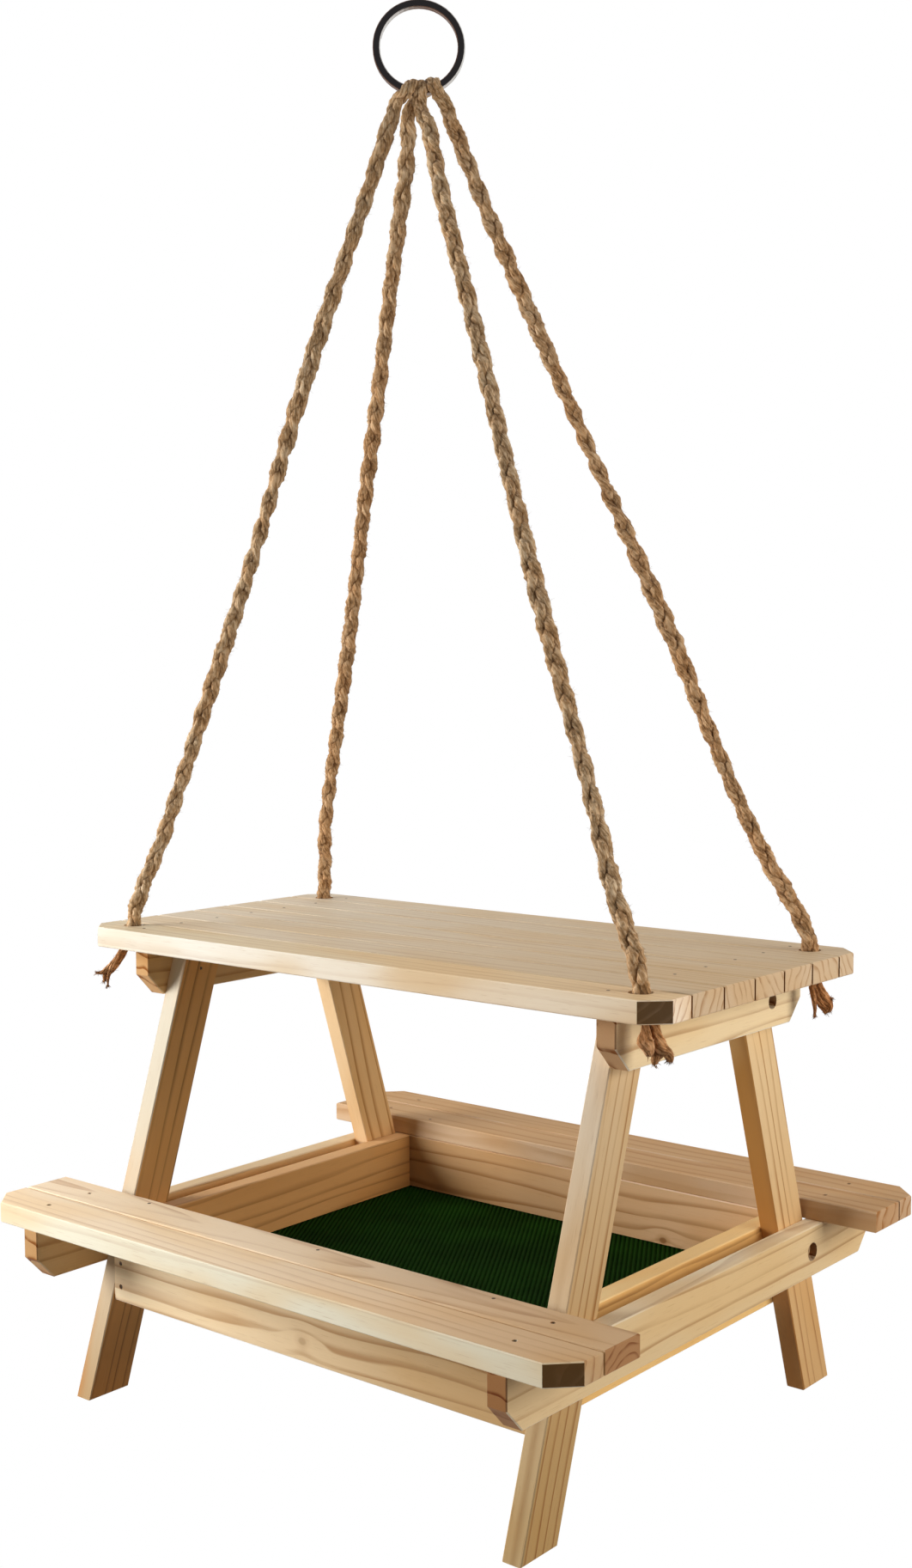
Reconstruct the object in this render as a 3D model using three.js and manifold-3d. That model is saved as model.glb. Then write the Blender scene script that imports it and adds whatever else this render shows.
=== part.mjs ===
// A hanging bird table in the shape of a small picnic table.
// Millimetres, +Z up. The origin is the inner top of the split ring, where a hook bears.
// The table's own frame has its origin in the middle of the top's upper face:
// X along the benches, Y across them, front legs at -Y.

import * as THREE from 'three';
import { mergeVertices } from 'three/addons/utils/BufferGeometryUtils.js';
import Module from 'manifold-3d';

const wasm = await Module();
wasm.setup();

// Timber stock
const boardThickness = 8;
const slatWidth = 18.9;
const slatGap = 0.95;
const arris = 0.4;

// Table top
const topLength = 282;
const topSlatCount = 7;
const topCornerCut = 8.3;
const topOverhang = 30;

// Benches
const benchSlatCount = 2;
const benchCornerCut = 9.1;
const benchDrop = 102.7;
const benchOverhang = 31;
const benchLegClearance = 1.1;

// Rails: the cleats under the top and the supports under the benches
const railHeight = 19.5;
const railCutRun = 8;
const railCutRise = 8.5;
const cleatSetback = 8;
const supportSetback = 0.35;

// Legs, splayed towards the front and the back
const legWidth = 18.5;
const legTopSetback = 14.4;
const legFootSpread = 202.2;
const tableHeight = 180.7;

// Tray
const trayWallHeight = 33;
const trayWallSetback = 0.2;
const trayFloorDrop = 24;
const trayFloorThickness = 0.8;
const grooveDepth = 3;
const grooveClearance = 0.3;

// Screws and nails
const fastenerClearance = 0.3;
const screwHeadRadius = 2.5;
const screwHeadTaper = 1.6;
const screwShankRadius = 1.5;
const screwTipLength = 2.4;
const screwSetDepth = 3;
const cleatScrewLength = 13.6;
const supportScrewLength = 19;
const cleatBoreRadius = 2.9;
const supportBoreRadius = 3.6;
const crossSlotWidth = 0.7;
const crossSlotDepth = 0.9;
const nailHeadRadius = 0.7;
const nailHeadThickness = 0.5;
const nailShankRadius = 0.5;
const nailTipLength = 1.2;
const nailLength = 15;
const nailSetDepth = 0.3;
const wallNailDrops = [17.7, 27];
const boreOverrun = 1;

// Split ring
const ringOuterRadius = 17.5;
const ringWireWidth = 2.8;
const ringCoilThickness = 1.3;
const ringCoilGap = 0.45;
const ringWireChamfer = 0.3;
const ringTurn = THREE.MathUtils.degToRad(38.7);
const ringEndAngle = THREE.MathUtils.degToRad(195);
const ringCrossingAngle = THREE.MathUtils.degToRad(30);
const ringStepAngle = THREE.MathUtils.degToRad(7.5);

// Ropes
const ropeDiameter = 6.8;
const ropeSides = 10;
const ropeSteps = 28;
const ropeHoleRadius = 4.2;
const ropeHoleMargin = 1.7;
const ropeEndRadius = 4.6;
const ropeEndWaistRadius = 3.9;
const ropeEndBrushRadius = 5.6;
const ropeEndTipRadius = 4.5;
const ropeEndLength = 16;
const ropeEndHeightShares = { brush: 0.85, waist: 0.3, collar: 0.15 };
const ropeEndLean = 6;
const ropeEndClearance = 1.8;
const ropeGap = 0.3;
const loopThickness = 2.4;
const loopClearance = 0.3;
const loopLegLength = 5;
const loopSoftness = 0.5;
const loopSteps = 12;
const loopPlaces = {
  left: { middle: -6, width: 5.6 },
  middle: { middle: 1.8, width: 5 },
  right: { middle: 7.7, width: 4.4 },
};

// Where the top hangs below the ring, and how far the ring stands off its middle
const hangHeight = 353.2;
const hangShift = 12.6;

// Worked out from the sizes above
const ringWireRadius = ringOuterRadius - ringWireWidth / 2;
const ringInnerRadius = ringOuterRadius - ringWireWidth;
const ringThickness = 2 * ringCoilThickness + ringCoilGap;
const tableShiftX = hangShift * Math.cos(ringTurn);
const tableShiftY = hangShift * Math.sin(ringTurn);
const topWidth = topSlatCount * slatWidth + (topSlatCount - 1) * slatGap;
const legFrameWidth = topLength - 2 * topOverhang;
const legInnerX = legFrameWidth / 2 - boardThickness;
const railMiddleX = legFrameWidth / 2 + boardThickness / 2;
const railOuterX = legFrameWidth / 2 + boardThickness;
const cleatLength = topWidth - 2 * cleatSetback;
const legTopSpread = cleatLength - 2 * legTopSetback;
const legSlope = (legFootSpread - legTopSpread) / 2 / (tableHeight - boardThickness);
const legLevelWidth = legWidth * Math.hypot(1, legSlope);
const benchLength = legFrameWidth + 2 * benchOverhang;
const benchTop = -benchDrop;
const benchSpacing = legTopSpread + 2 * (legSlope * benchDrop + benchLegClearance);
const benchWidth = benchSlatCount * slatWidth + (benchSlatCount - 1) * slatGap;
const railTopOfSupport = benchTop - boardThickness;
const supportLength = benchSpacing + 2 * (benchWidth - supportSetback);
const trayWallY = benchSpacing / 2 - trayWallSetback;
const trayDepth = 2 * (trayWallY + boardThickness);
const trayFloorTop = railTopOfSupport - trayFloorDrop;
const trayFloorX = legInnerX - boardThickness + grooveDepth;
const trayFloorY = trayWallY + grooveDepth;
const ropeHoleX = railOuterX + ropeEndRadius + ropeEndClearance;
const ropeHoleY = topWidth / 2 - slatWidth + ropeHoleMargin + ropeHoleRadius;

const pine = { color: 0xd9b98a, roughness: 0.75, metalness: 0 };
const palePine = { color: 0xe6cfa6, roughness: 0.75, metalness: 0 };
const steel = { color: 0x6f6a62, roughness: 0.4, metalness: 1 };
const ringSteel = { color: 0x3a3a3c, roughness: 0.22, metalness: 1 };
const jute = { color: 0xa68560, roughness: 0.95, metalness: 0 };
const greenMesh = { color: 0x12401c, roughness: 0.6, metalness: 0 };

const sides = [['left', -1], ['right', 1]];
const faces = [['front', -1], ['back', 1]];

const bird_table = new THREE.Group();
const table = new THREE.Group();
table.position.set(tableShiftX, tableShiftY, -hangHeight);
bird_table.add(table);

function addPiece(group, name, geometry, look) {
  const mesh = new THREE.Mesh(geometry, new THREE.MeshStandardMaterial(look));
  mesh.name = name;
  group.add(mesh);
  return mesh;
}

// A closed geometry as a solid that can be cut, and back again
function solid(geometry) {
  const bare = geometry.clone();
  bare.deleteAttribute('normal');
  bare.deleteAttribute('uv');
  const merged = mergeVertices(bare);
  return new wasm.Manifold(new wasm.Mesh({
    numProp: 3,
    vertProperties: merged.attributes.position.array,
    triVerts: Uint32Array.from(merged.index.array),
  }));
}

function geometryOf(manifold) {
  const { vertProperties, triVerts } = manifold.getMesh();
  const geometry = new THREE.BufferGeometry();
  geometry.setAttribute('position', new THREE.BufferAttribute(new Float32Array(vertProperties), 3));
  geometry.setIndex(new THREE.BufferAttribute(new Uint32Array(triVerts), 1));
  return geometry;
}

function cut(geometry, cutters) {
  return geometryOf(cutters.reduce((rest, cutter) => rest.subtract(solid(cutter)), solid(geometry)));
}

// A board: an outline given as [a, b] pairs, made thick from low to high, its edges eased
function board(outline, low, high) {
  const shape = new THREE.Shape(outline.map(([a, b]) => new THREE.Vector2(a, b)));
  const geometry = new THREE.ExtrudeGeometry(shape, {
    depth: high - low - 2 * arris,
    bevelEnabled: true,
    bevelThickness: arris,
    bevelSize: arris,
    bevelOffset: -arris,
    bevelSegments: 1,
  });
  return geometry.translate(0, 0, low + arris);
}

// The same board stood up: its outline lies in the YZ plane, or in the XZ plane
const standAcrossX = new THREE.Matrix4().makeBasis(
  new THREE.Vector3(0, 1, 0), new THREE.Vector3(0, 0, 1), new THREE.Vector3(1, 0, 0));

function boardAcrossX(outline, low, high) {
  return board(outline, low, high).applyMatrix4(standAcrossX);
}

function boardAcrossY(outline, low, high) {
  const turn = new THREE.Matrix4().makeRotationX(Math.PI / 2);
  return board(outline, -high, -low).applyMatrix4(turn);
}

function block(lowX, highX, lowY, highY, lowZ, highZ) {
  return new THREE.BoxGeometry(highX - lowX, highY - lowY, highZ - lowZ)
    .translate((lowX + highX) / 2, (lowY + highY) / 2, (lowZ + highZ) / 2);
}

// A turned piece: [radius, height] pairs from tip to top, its top at the origin, its axis along
// the direction given
function turned(profile, segments, direction) {
  const points = profile.map(([radius, height]) => new THREE.Vector2(radius, height));
  const geometry = new THREE.LatheGeometry(points, segments);
  const turn = new THREE.Quaternion().setFromUnitVectors(new THREE.Vector3(0, 1, 0), direction);
  return geometry.applyQuaternion(turn);
}

const alongX = (sign) => new THREE.Vector3(sign, 0, 0);
const alongY = (sign) => new THREE.Vector3(0, sign, 0);
const upwards = new THREE.Vector3(0, 0, 1);

const screwSegments = 16;
const nailSegments = 8;

function screwProfile(length, grow, boreRadius) {
  const tip = length + grow;
  const profile = [
    [0, -tip],
    [screwShankRadius + grow, -tip + screwTipLength],
    [screwShankRadius + grow, -screwHeadTaper],
    [screwHeadRadius + grow, 0],
  ];
  if (boreRadius) {
    const outside = screwSetDepth + boreOverrun;
    profile.push([boreRadius, 0], [boreRadius, outside], [0, outside]);
  } else {
    profile.push([0, 0]);
  }
  return profile;
}

function nailProfile(grow, setDepth) {
  const tip = nailLength + grow;
  return [
    [0, -tip],
    [nailShankRadius + grow, -tip + nailTipLength],
    [nailShankRadius + grow, -nailHeadThickness - grow],
    [nailHeadRadius + grow, -nailHeadThickness - grow],
    [nailHeadRadius + grow, setDepth],
    [0, setDepth],
  ];
}

// A screw with a cross slot, driven along X from the rail's outer face
function screw(length, direction) {
  const slot = screwHeadRadius + boreOverrun;
  const half = crossSlotWidth / 2;
  const body = turned(screwProfile(length, 0), screwSegments, direction);
  return cut(body, [
    block(-crossSlotDepth, crossSlotDepth, -slot / 2, slot / 2, -half, half),
    block(-crossSlotDepth, crossSlotDepth, -half, half, -slot / 2, slot / 2),
  ]);
}

function screwBore(length, direction, at, boreRadius) {
  return turned(screwProfile(length, fastenerClearance, boreRadius), screwSegments, direction)
    .translate(at.x, at.y, at.z);
}

function nailBore(direction, at) {
  return turned(nailProfile(fastenerClearance, nailSetDepth + boreOverrun), nailSegments, direction)
    .translate(at.x, at.y, at.z);
}

// Places of the fasteners: a screw's or nail's place is the middle of its head's upper face
function legMiddleY(height) {
  const outer = legTopSpread / 2 - legSlope * (boardThickness + height);
  return outer - legLevelWidth / 2;
}

const cleatScrewHeight = -boardThickness - railHeight / 2;
const supportScrewHeight = railTopOfSupport - railHeight / 2;

function railScrewPlace(side, face, height) {
  return new THREE.Vector3(side * (railOuterX - screwSetDepth), face * legMiddleY(height), height);
}

function slatMiddleY(face, index) {
  return face * (benchSpacing / 2 + slatWidth / 2 + index * (slatWidth + slatGap));
}

function benchNailPlace(side, face, index) {
  return new THREE.Vector3(side * railMiddleX, slatMiddleY(face, index), benchTop - nailSetDepth);
}

function wallNailPlace(side, face, drop) {
  const x = side * (legInnerX - boardThickness / 2);
  return new THREE.Vector3(x, face * (trayDepth / 2 - nailSetDepth), railTopOfSupport - drop);
}

// A slat along X from lowY to highY, its corners cut off on the sides asked for
function slatOutline(length, lowY, highY, lowCut, highCut) {
  const end = length / 2;
  return [
    ...(lowCut ? [[-end, lowY + lowCut], [-end + lowCut, lowY]] : [[-end, lowY]]),
    ...(lowCut ? [[end - lowCut, lowY], [end, lowY + lowCut]] : [[end, lowY]]),
    ...(highCut ? [[end, highY - highCut], [end - highCut, highY]] : [[end, highY]]),
    ...(highCut ? [[-end + highCut, highY], [-end, highY - highCut]] : [[-end, highY]]),
  ];
}

// Table top: slats along X, the outer two with cut corners and rope holes
const ropeHole = (x, y) => turned([
  [0, -boardThickness - boreOverrun],
  [ropeHoleRadius, -boardThickness - boreOverrun],
  [ropeHoleRadius, boreOverrun],
  [0, boreOverrun],
], 2 * ropeSides, upwards).translate(x, y, 0);

for (let index = 0; index < topSlatCount; index += 1) {
  const first = index === 0;
  const last = index === topSlatCount - 1;
  const lowY = -topWidth / 2 + index * (slatWidth + slatGap);
  const outline = slatOutline(
    topLength, lowY, lowY + slatWidth, first ? topCornerCut : 0, last ? topCornerCut : 0);
  const holeY = first ? -ropeHoleY : ropeHoleY;
  const holes = first || last ? sides.map(([, side]) => ropeHole(side * ropeHoleX, holeY)) : [];
  const slat = cut(board(outline, -boardThickness, 0), holes);
  addPiece(table, `top_slat_${index + 1}`, slat, pine);
}

// Rails: a cleat under the top and a support under the benches, at each end
function railOutline(length, top) {
  const end = length / 2;
  const bottom = top - railHeight;
  return [
    [-end, top],
    [-end, bottom + railCutRise],
    [-end + railCutRun, bottom],
    [end - railCutRun, bottom],
    [end, bottom + railCutRise],
    [end, top],
  ];
}

function rail(side, length, top, cutters) {
  const edges = [side * (railOuterX - boardThickness), side * railOuterX].sort((a, b) => a - b);
  return cut(boardAcrossX(railOutline(length, top), ...edges), cutters);
}

for (const [sideName, side] of sides) {
  const cleatBores = faces.map(([, face]) => screwBore(
    cleatScrewLength, alongX(side), railScrewPlace(side, face, cleatScrewHeight), cleatBoreRadius));
  addPiece(table, `top_cleat_${sideName}`, rail(side, cleatLength, -boardThickness, cleatBores), pine);

  const supportBores = faces.map(([, face]) => screwBore(
    supportScrewLength, alongX(side), railScrewPlace(side, face, supportScrewHeight), supportBoreRadius));
  const nailBores = faces.flatMap(([, face]) => [...Array(benchSlatCount).keys()].map(
    (index) => nailBore(upwards, benchNailPlace(side, face, index))));
  const support = rail(side, supportLength, railTopOfSupport, [...supportBores, ...nailBores]);
  addPiece(table, `bench_support_${sideName}`, support, pine);
}

// Legs: level at the top's underside and at the floor
for (const [faceName, face] of faces) {
  for (const [sideName, side] of sides) {
    const top = legTopSpread / 2;
    const foot = legFootSpread / 2;
    const outline = [
      [face * top, -boardThickness],
      [face * foot, -tableHeight],
      [face * (foot - legLevelWidth), -tableHeight],
      [face * (top - legLevelWidth), -boardThickness],
    ];
    const edges = [side * legInnerX, side * legFrameWidth / 2].sort((a, b) => a - b);
    const leg = cut(boardAcrossX(outline, ...edges), [
      screwBore(cleatScrewLength, alongX(side), railScrewPlace(side, face, cleatScrewHeight), 0),
      screwBore(supportScrewLength, alongX(side), railScrewPlace(side, face, supportScrewHeight), 0),
    ]);
    addPiece(table, `leg_${faceName}_${sideName}`, leg, palePine);
  }
}

// Benches: an inner and an outer slat each, the outer one with cut outer corners
for (const [faceName, face] of faces) {
  for (const [index, place] of ['inner', 'outer'].entries()) {
    const middle = slatMiddleY(face, index);
    const cornerCut = index === benchSlatCount - 1 ? benchCornerCut : 0;
    const outline = slatOutline(
      benchLength, middle - slatWidth / 2, middle + slatWidth / 2,
      face < 0 ? cornerCut : 0, face > 0 ? cornerCut : 0);
    const bores = sides.map(([, side]) => nailBore(upwards, benchNailPlace(side, face, index)));
    const slat = cut(board(outline, benchTop - boardThickness, benchTop), bores);
    addPiece(table, `bench_slat_${faceName}_${place}`, slat, pine);
  }
}

// Tray: end walls between the long walls, and a mesh floor let into a groove in all four
const trayBottom = railTopOfSupport - trayWallHeight;
const groove = block(
  -trayFloorX - grooveClearance, trayFloorX + grooveClearance,
  -trayFloorY - grooveClearance, trayFloorY + grooveClearance,
  trayFloorTop - trayFloorThickness - grooveClearance, trayFloorTop + grooveClearance);

const wallOutline = (end) => [
  [-end, trayBottom],
  [end, trayBottom],
  [end, railTopOfSupport],
  [-end, railTopOfSupport],
];

for (const [faceName, face] of faces) {
  const edges = [face * trayWallY, face * trayDepth / 2].sort((a, b) => a - b);
  const bores = sides.flatMap(([, side]) => wallNailDrops.map(
    (drop) => nailBore(alongY(face), wallNailPlace(side, face, drop))));
  const wall = cut(boardAcrossY(wallOutline(legInnerX), ...edges), [groove, ...bores]);
  addPiece(table, `tray_wall_${faceName}`, wall, pine);
}

for (const [sideName, side] of sides) {
  const edges = [side * (legInnerX - boardThickness), side * legInnerX].sort((a, b) => a - b);
  const nailBores = faces.flatMap(([, face]) => wallNailDrops.map(
    (drop) => nailBore(alongY(face), wallNailPlace(side, face, drop))));
  const screwBores = faces.map(([, face]) => screwBore(
    supportScrewLength, alongX(side), railScrewPlace(side, face, supportScrewHeight), 0));
  const wall = boardAcrossX(wallOutline(trayWallY), ...edges);
  addPiece(table, `tray_wall_${sideName}`, cut(wall, [groove, ...nailBores, ...screwBores]), pine);
}

addPiece(table, 'tray_mesh_floor', block(
  -trayFloorX, trayFloorX, -trayFloorY, trayFloorY,
  trayFloorTop - trayFloorThickness, trayFloorTop), greenMesh);

// Screws through the rails and legs, nails through the benches and the tray's long walls
for (const [faceName, face] of faces) {
  for (const [sideName, side] of sides) {
    const corner = `${faceName}_${sideName}`;
    const cleatScrew = screw(cleatScrewLength, alongX(side));
    addPiece(table, `cleat_screw_${corner}`, cleatScrew, steel)
      .position.copy(railScrewPlace(side, face, cleatScrewHeight));
    const supportScrew = screw(supportScrewLength, alongX(side));
    addPiece(table, `support_screw_${corner}`, supportScrew, steel)
      .position.copy(railScrewPlace(side, face, supportScrewHeight));
    for (const [index, place] of ['inner', 'outer'].entries()) {
      addPiece(table, `bench_nail_${corner}_${place}`,
        turned(nailProfile(0, 0), nailSegments, upwards), steel)
        .position.copy(benchNailPlace(side, face, index));
    }
    for (const [index, drop] of wallNailDrops.entries()) {
      addPiece(table, `wall_nail_${corner}_${index + 1}`,
        turned(nailProfile(0, 0), nailSegments, alongY(face)), steel)
        .position.copy(wallNailPlace(side, face, drop));
    }
  }
}

// The least gap between a coil's turns, measured on its points half a turn or more apart
function leastTurnGap(points, pointsPerTurn) {
  const from = new THREE.Vector3();
  const to = new THREE.Vector3();
  let least = Infinity;
  for (let first = 0; first < points.count; first += 1) {
    from.fromBufferAttribute(points, first);
    for (let second = first + pointsPerTurn / 2; second < points.count; second += 1) {
      least = Math.min(least, from.distanceTo(to.fromBufferAttribute(points, second)));
    }
  }
  return least;
}

// A closed solid through rings of points, each a convex outline that runs counter-clockwise
// about the way from the first ring to the last
function sweep(rings) {
  const count = rings[0].length;
  const indices = [];
  for (let here = 0; here < (rings.length - 1) * count; here += count) {
    const there = here + count;
    for (let corner = 0; corner < count; corner += 1) {
      const next = (corner + 1) % count;
      indices.push(here + corner, here + next, there + next);
      indices.push(here + corner, there + next, there + corner);
    }
  }
  const last = (rings.length - 1) * count;
  for (let corner = 1; corner < count - 1; corner += 1) {
    indices.push(0, corner + 1, corner);
    indices.push(last, last + corner, last + corner + 1);
  }
  const geometry = new THREE.BufferGeometry();
  geometry.setAttribute('position', new THREE.Float32BufferAttribute(rings.flat(2), 3));
  geometry.setIndex(indices);
  return geometry;
}

// Split ring: two turns of flat wire, whose crossing lies between its two ends.
// Its eye looks along -Y before it is turned about Z.
function splitRing() {
  const total = 4 * Math.PI - ringCrossingAngle;
  const stepCount = Math.round(total / ringStepAngle);
  const halfWidth = ringWireWidth / 2;
  const halfThickness = ringCoilThickness / 2;
  const pitch = ringCoilThickness + ringCoilGap;
  const section = [
    [halfWidth, halfThickness - ringWireChamfer],
    [halfWidth - ringWireChamfer, halfThickness],
    [ringWireChamfer - halfWidth, halfThickness],
    [-halfWidth, halfThickness - ringWireChamfer],
    [-halfWidth, ringWireChamfer - halfThickness],
    [ringWireChamfer - halfWidth, -halfThickness],
    [halfWidth - ringWireChamfer, -halfThickness],
    [halfWidth, ringWireChamfer - halfThickness],
  ];
  const rings = [];
  for (let step = 0; step <= stepCount; step += 1) {
    const travelled = (total * step) / stepCount;
    const crossed = (travelled - 2 * Math.PI + ringCrossingAngle) / ringCrossingAngle;
    const offset = pitch * (THREE.MathUtils.smoothstep(crossed, 0, 1) - 1 / 2);
    const angle = ringEndAngle + travelled;
    rings.push(section.map(([outwards, aside]) => {
      const radius = ringWireRadius + outwards;
      return [radius * Math.cos(angle), offset + aside, radius * Math.sin(angle)];
    }));
  }
  const geometry = sweep(rings);
  const stepsPerTurn = Math.round((2 * Math.PI) / ringStepAngle);
  const gap = leastTurnGap(geometry.attributes.position, stepsPerTurn * section.length);
  console.log(`split_ring: least gap between its turns ${gap.toFixed(2)} mm`);
  return geometry.rotateZ(ringTurn).translate(0, 0, -ringInnerRadius);
}

addPiece(bird_table, 'split_ring', splitRing(), ringSteel);

// Rope loops: each rope is squeezed flat where it passes over the ring's bottom wire.
// A loop's bore is a cone round the wire, because the ring curves up on either side,
// and it leaves the wire free to turn in it.
const ringBottom = -ringInnerRadius - ringWireRadius;

function loopBoreRadius(aside) {
  const wireTop = ringWireRadius - Math.sqrt(ringInnerRadius ** 2 - aside ** 2);
  return Math.hypot(wireTop, ringThickness / 2) + loopClearance;
}

function ropeLoop({ middle, width }) {
  const low = middle - width / 2;
  const high = middle + width / 2;
  const lowRadius = loopBoreRadius(low);
  const highRadius = loopBoreRadius(high);
  const section = [
    [lowRadius, low + loopSoftness],
    [lowRadius + loopSoftness, low],
    [lowRadius + loopThickness - loopSoftness, low],
    [lowRadius + loopThickness, low + loopSoftness],
    [highRadius + loopThickness, high - loopSoftness],
    [highRadius + loopThickness - loopSoftness, high],
    [highRadius + loopSoftness, high],
    [highRadius, high - loopSoftness],
  ];
  const leg = (side) => section.map(([radius, aside]) => [aside, side * radius, -loopLegLength]);
  const rings = [leg(-1)];
  for (let step = 0; step <= loopSteps; step += 1) {
    const angle = (Math.PI * step) / loopSteps;
    rings.push(section.map(([radius, aside]) => (
      [aside, -radius * Math.cos(angle), radius * Math.sin(angle)])));
  }
  rings.push(leg(1));
  return sweep(rings).rotateZ(ringTurn).translate(0, 0, ringBottom);
}

for (const [placeName, place] of Object.entries(loopPlaces)) {
  addPiece(bird_table, `rope_loop_${placeName}`, ropeLoop(place), jute);
}

// Rope strands: from a leg of a loop, straight down to a hole in the top and through it
const ropeRoutes = {
  front_left: [
    [-1.6, -7.6, -36.1], [-1.7, -7.6, -38.1], [-6.9, -10.3, -46.1],
    [-10.1, -11.4, -55.0], [-15.4, -13.3, -70.0], [-22.9, -16.0, -90.0],
    [-33.9, -20.1, -120.0], [-44.3, -23.6, -150.0], [-54.3, -26.8, -180.0],
    [-64.4, -30.1, -210.0], [-74.9, -33.7, -240.0], [-85.6, -37.5, -270.0],
    [-96.4, -41.3, -300.0], [-103.7, -43.9, -320.0], [-112.6, -47.1, -340.7],
    [-114.9, -47.9, -347.7], [-115.6, -48.1, -352.7], [-115.6, -48.1, -361.2],
  ],
  front_right: [
    [3.8, -1.9, -36.1], [3.9, -1.9, -38.1], [7.8, -3.4, -46.1],
    [11.1, -5.0, -55.0], [16.8, -7.7, -70.0], [25.0, -10.7, -90.0],
    [37.6, -14.9, -120.0], [49.9, -19.3, -150.0], [62.0, -24.0, -180.0],
    [74.3, -28.5, -210.0], [87.1, -32.6, -240.0], [100.1, -36.5, -270.0],
    [112.8, -40.7, -300.0], [120.9, -43.8, -320.0], [131.6, -47.0, -340.7],
    [134.5, -47.9, -347.7], [135.2, -48.1, -352.7], [135.2, -48.1, -361.2],
  ],
  back_left: [
    [-7.8, 0.1, -36.1], [-7.9, 0.2, -38.1], [-9.1, 3.8, -46.1],
    [-11.9, 5.8, -55.0], [-17.2, 8.6, -70.0], [-24.5, 12.3, -90.0],
    [-35.2, 17.9, -120.0], [-45.9, 23.5, -150.0], [-56.5, 29.2, -180.0],
    [-67.1, 34.9, -210.0], [-77.7, 40.6, -240.0], [-88.5, 46.1, -270.0],
    [-99.5, 51.5, -300.0], [-106.6, 55.4, -320.0], [-113.2, 61.9, -340.7],
    [-115.2, 63.5, -347.7], [-115.7, 63.9, -352.7], [-115.7, 63.9, -361.2],
  ],
  back_right: [
    [2.5, 9.2, -36.1], [2.6, 9.3, -38.1], [8.3, 12.3, -46.1],
    [11.8, 13.6, -55.0], [17.5, 15.7, -70.0], [25.6, 19.0, -90.0],
    [37.9, 23.9, -120.0], [50.2, 28.9, -150.0], [62.8, 34.1, -180.0],
    [75.5, 39.4, -210.0], [87.7, 44.3, -240.0], [99.4, 48.7, -270.0],
    [111.5, 53.5, -300.0], [120.4, 57.4, -320.0], [131.4, 62.3, -340.7],
    [134.4, 63.5, -347.7], [135.2, 63.9, -352.7], [135.2, 63.9, -361.2],
  ],
};

function strand(route) {
  const points = route.map(([x, y, z]) => new THREE.Vector3(x, y, z));
  const section = new THREE.Shape();
  section.absarc(0, 0, ropeDiameter / 2, 0, 2 * Math.PI, false);
  return new THREE.ExtrudeGeometry(section, {
    steps: ropeSteps,
    curveSegments: ropeSides / 2,
    bevelEnabled: false,
    extrudePath: new THREE.CatmullRomCurve3(points),
  });
}

for (const [place, route] of Object.entries(ropeRoutes)) {
  addPiece(bird_table, `rope_strand_${place}`, strand(route), jute);
}

// Rope ends: a bound end wider than its hole, frayed into a brush that leans away from the cleat
function ropeEnd(side, face) {
  const top = -boardThickness - ropeGap;
  const profile = [
    [0, -ropeEndLength],
    [ropeEndTipRadius, -ropeEndLength],
    [ropeEndBrushRadius, -ropeEndLength * ropeEndHeightShares.brush],
    [ropeEndWaistRadius, -ropeEndLength * ropeEndHeightShares.waist],
    [ropeEndRadius, -ropeEndLength * ropeEndHeightShares.collar],
    [ropeEndRadius, 0],
    [0, 0],
  ];
  const lean = new THREE.Matrix4().set(
    1, 0, -side * ropeEndLean / ropeEndLength, 0, 0, 1, 0, 0, 0, 0, 1, 0, 0, 0, 0, 1);
  return turned(profile, ropeSides, upwards).applyMatrix4(lean)
    .translate(side * ropeHoleX, face * ropeHoleY, top);
}

for (const [faceName, face] of faces) {
  for (const [sideName, side] of sides) {
    addPiece(table, `rope_end_${faceName}_${sideName}`, ropeEnd(side, face), jute);
  }
}

export default bird_table;
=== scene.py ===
"""A hanging bird table: pine picnic table, green net tray, plaited jute ropes and a split ring."""

import math
import random
from itertools import accumulate

import bmesh
import bpy
from bpy.props import FloatProperty, FloatVectorProperty, IntProperty, PointerProperty
from mathutils import Matrix, Vector, noise
from mathutils.geometry import interpolate_bezier


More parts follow.
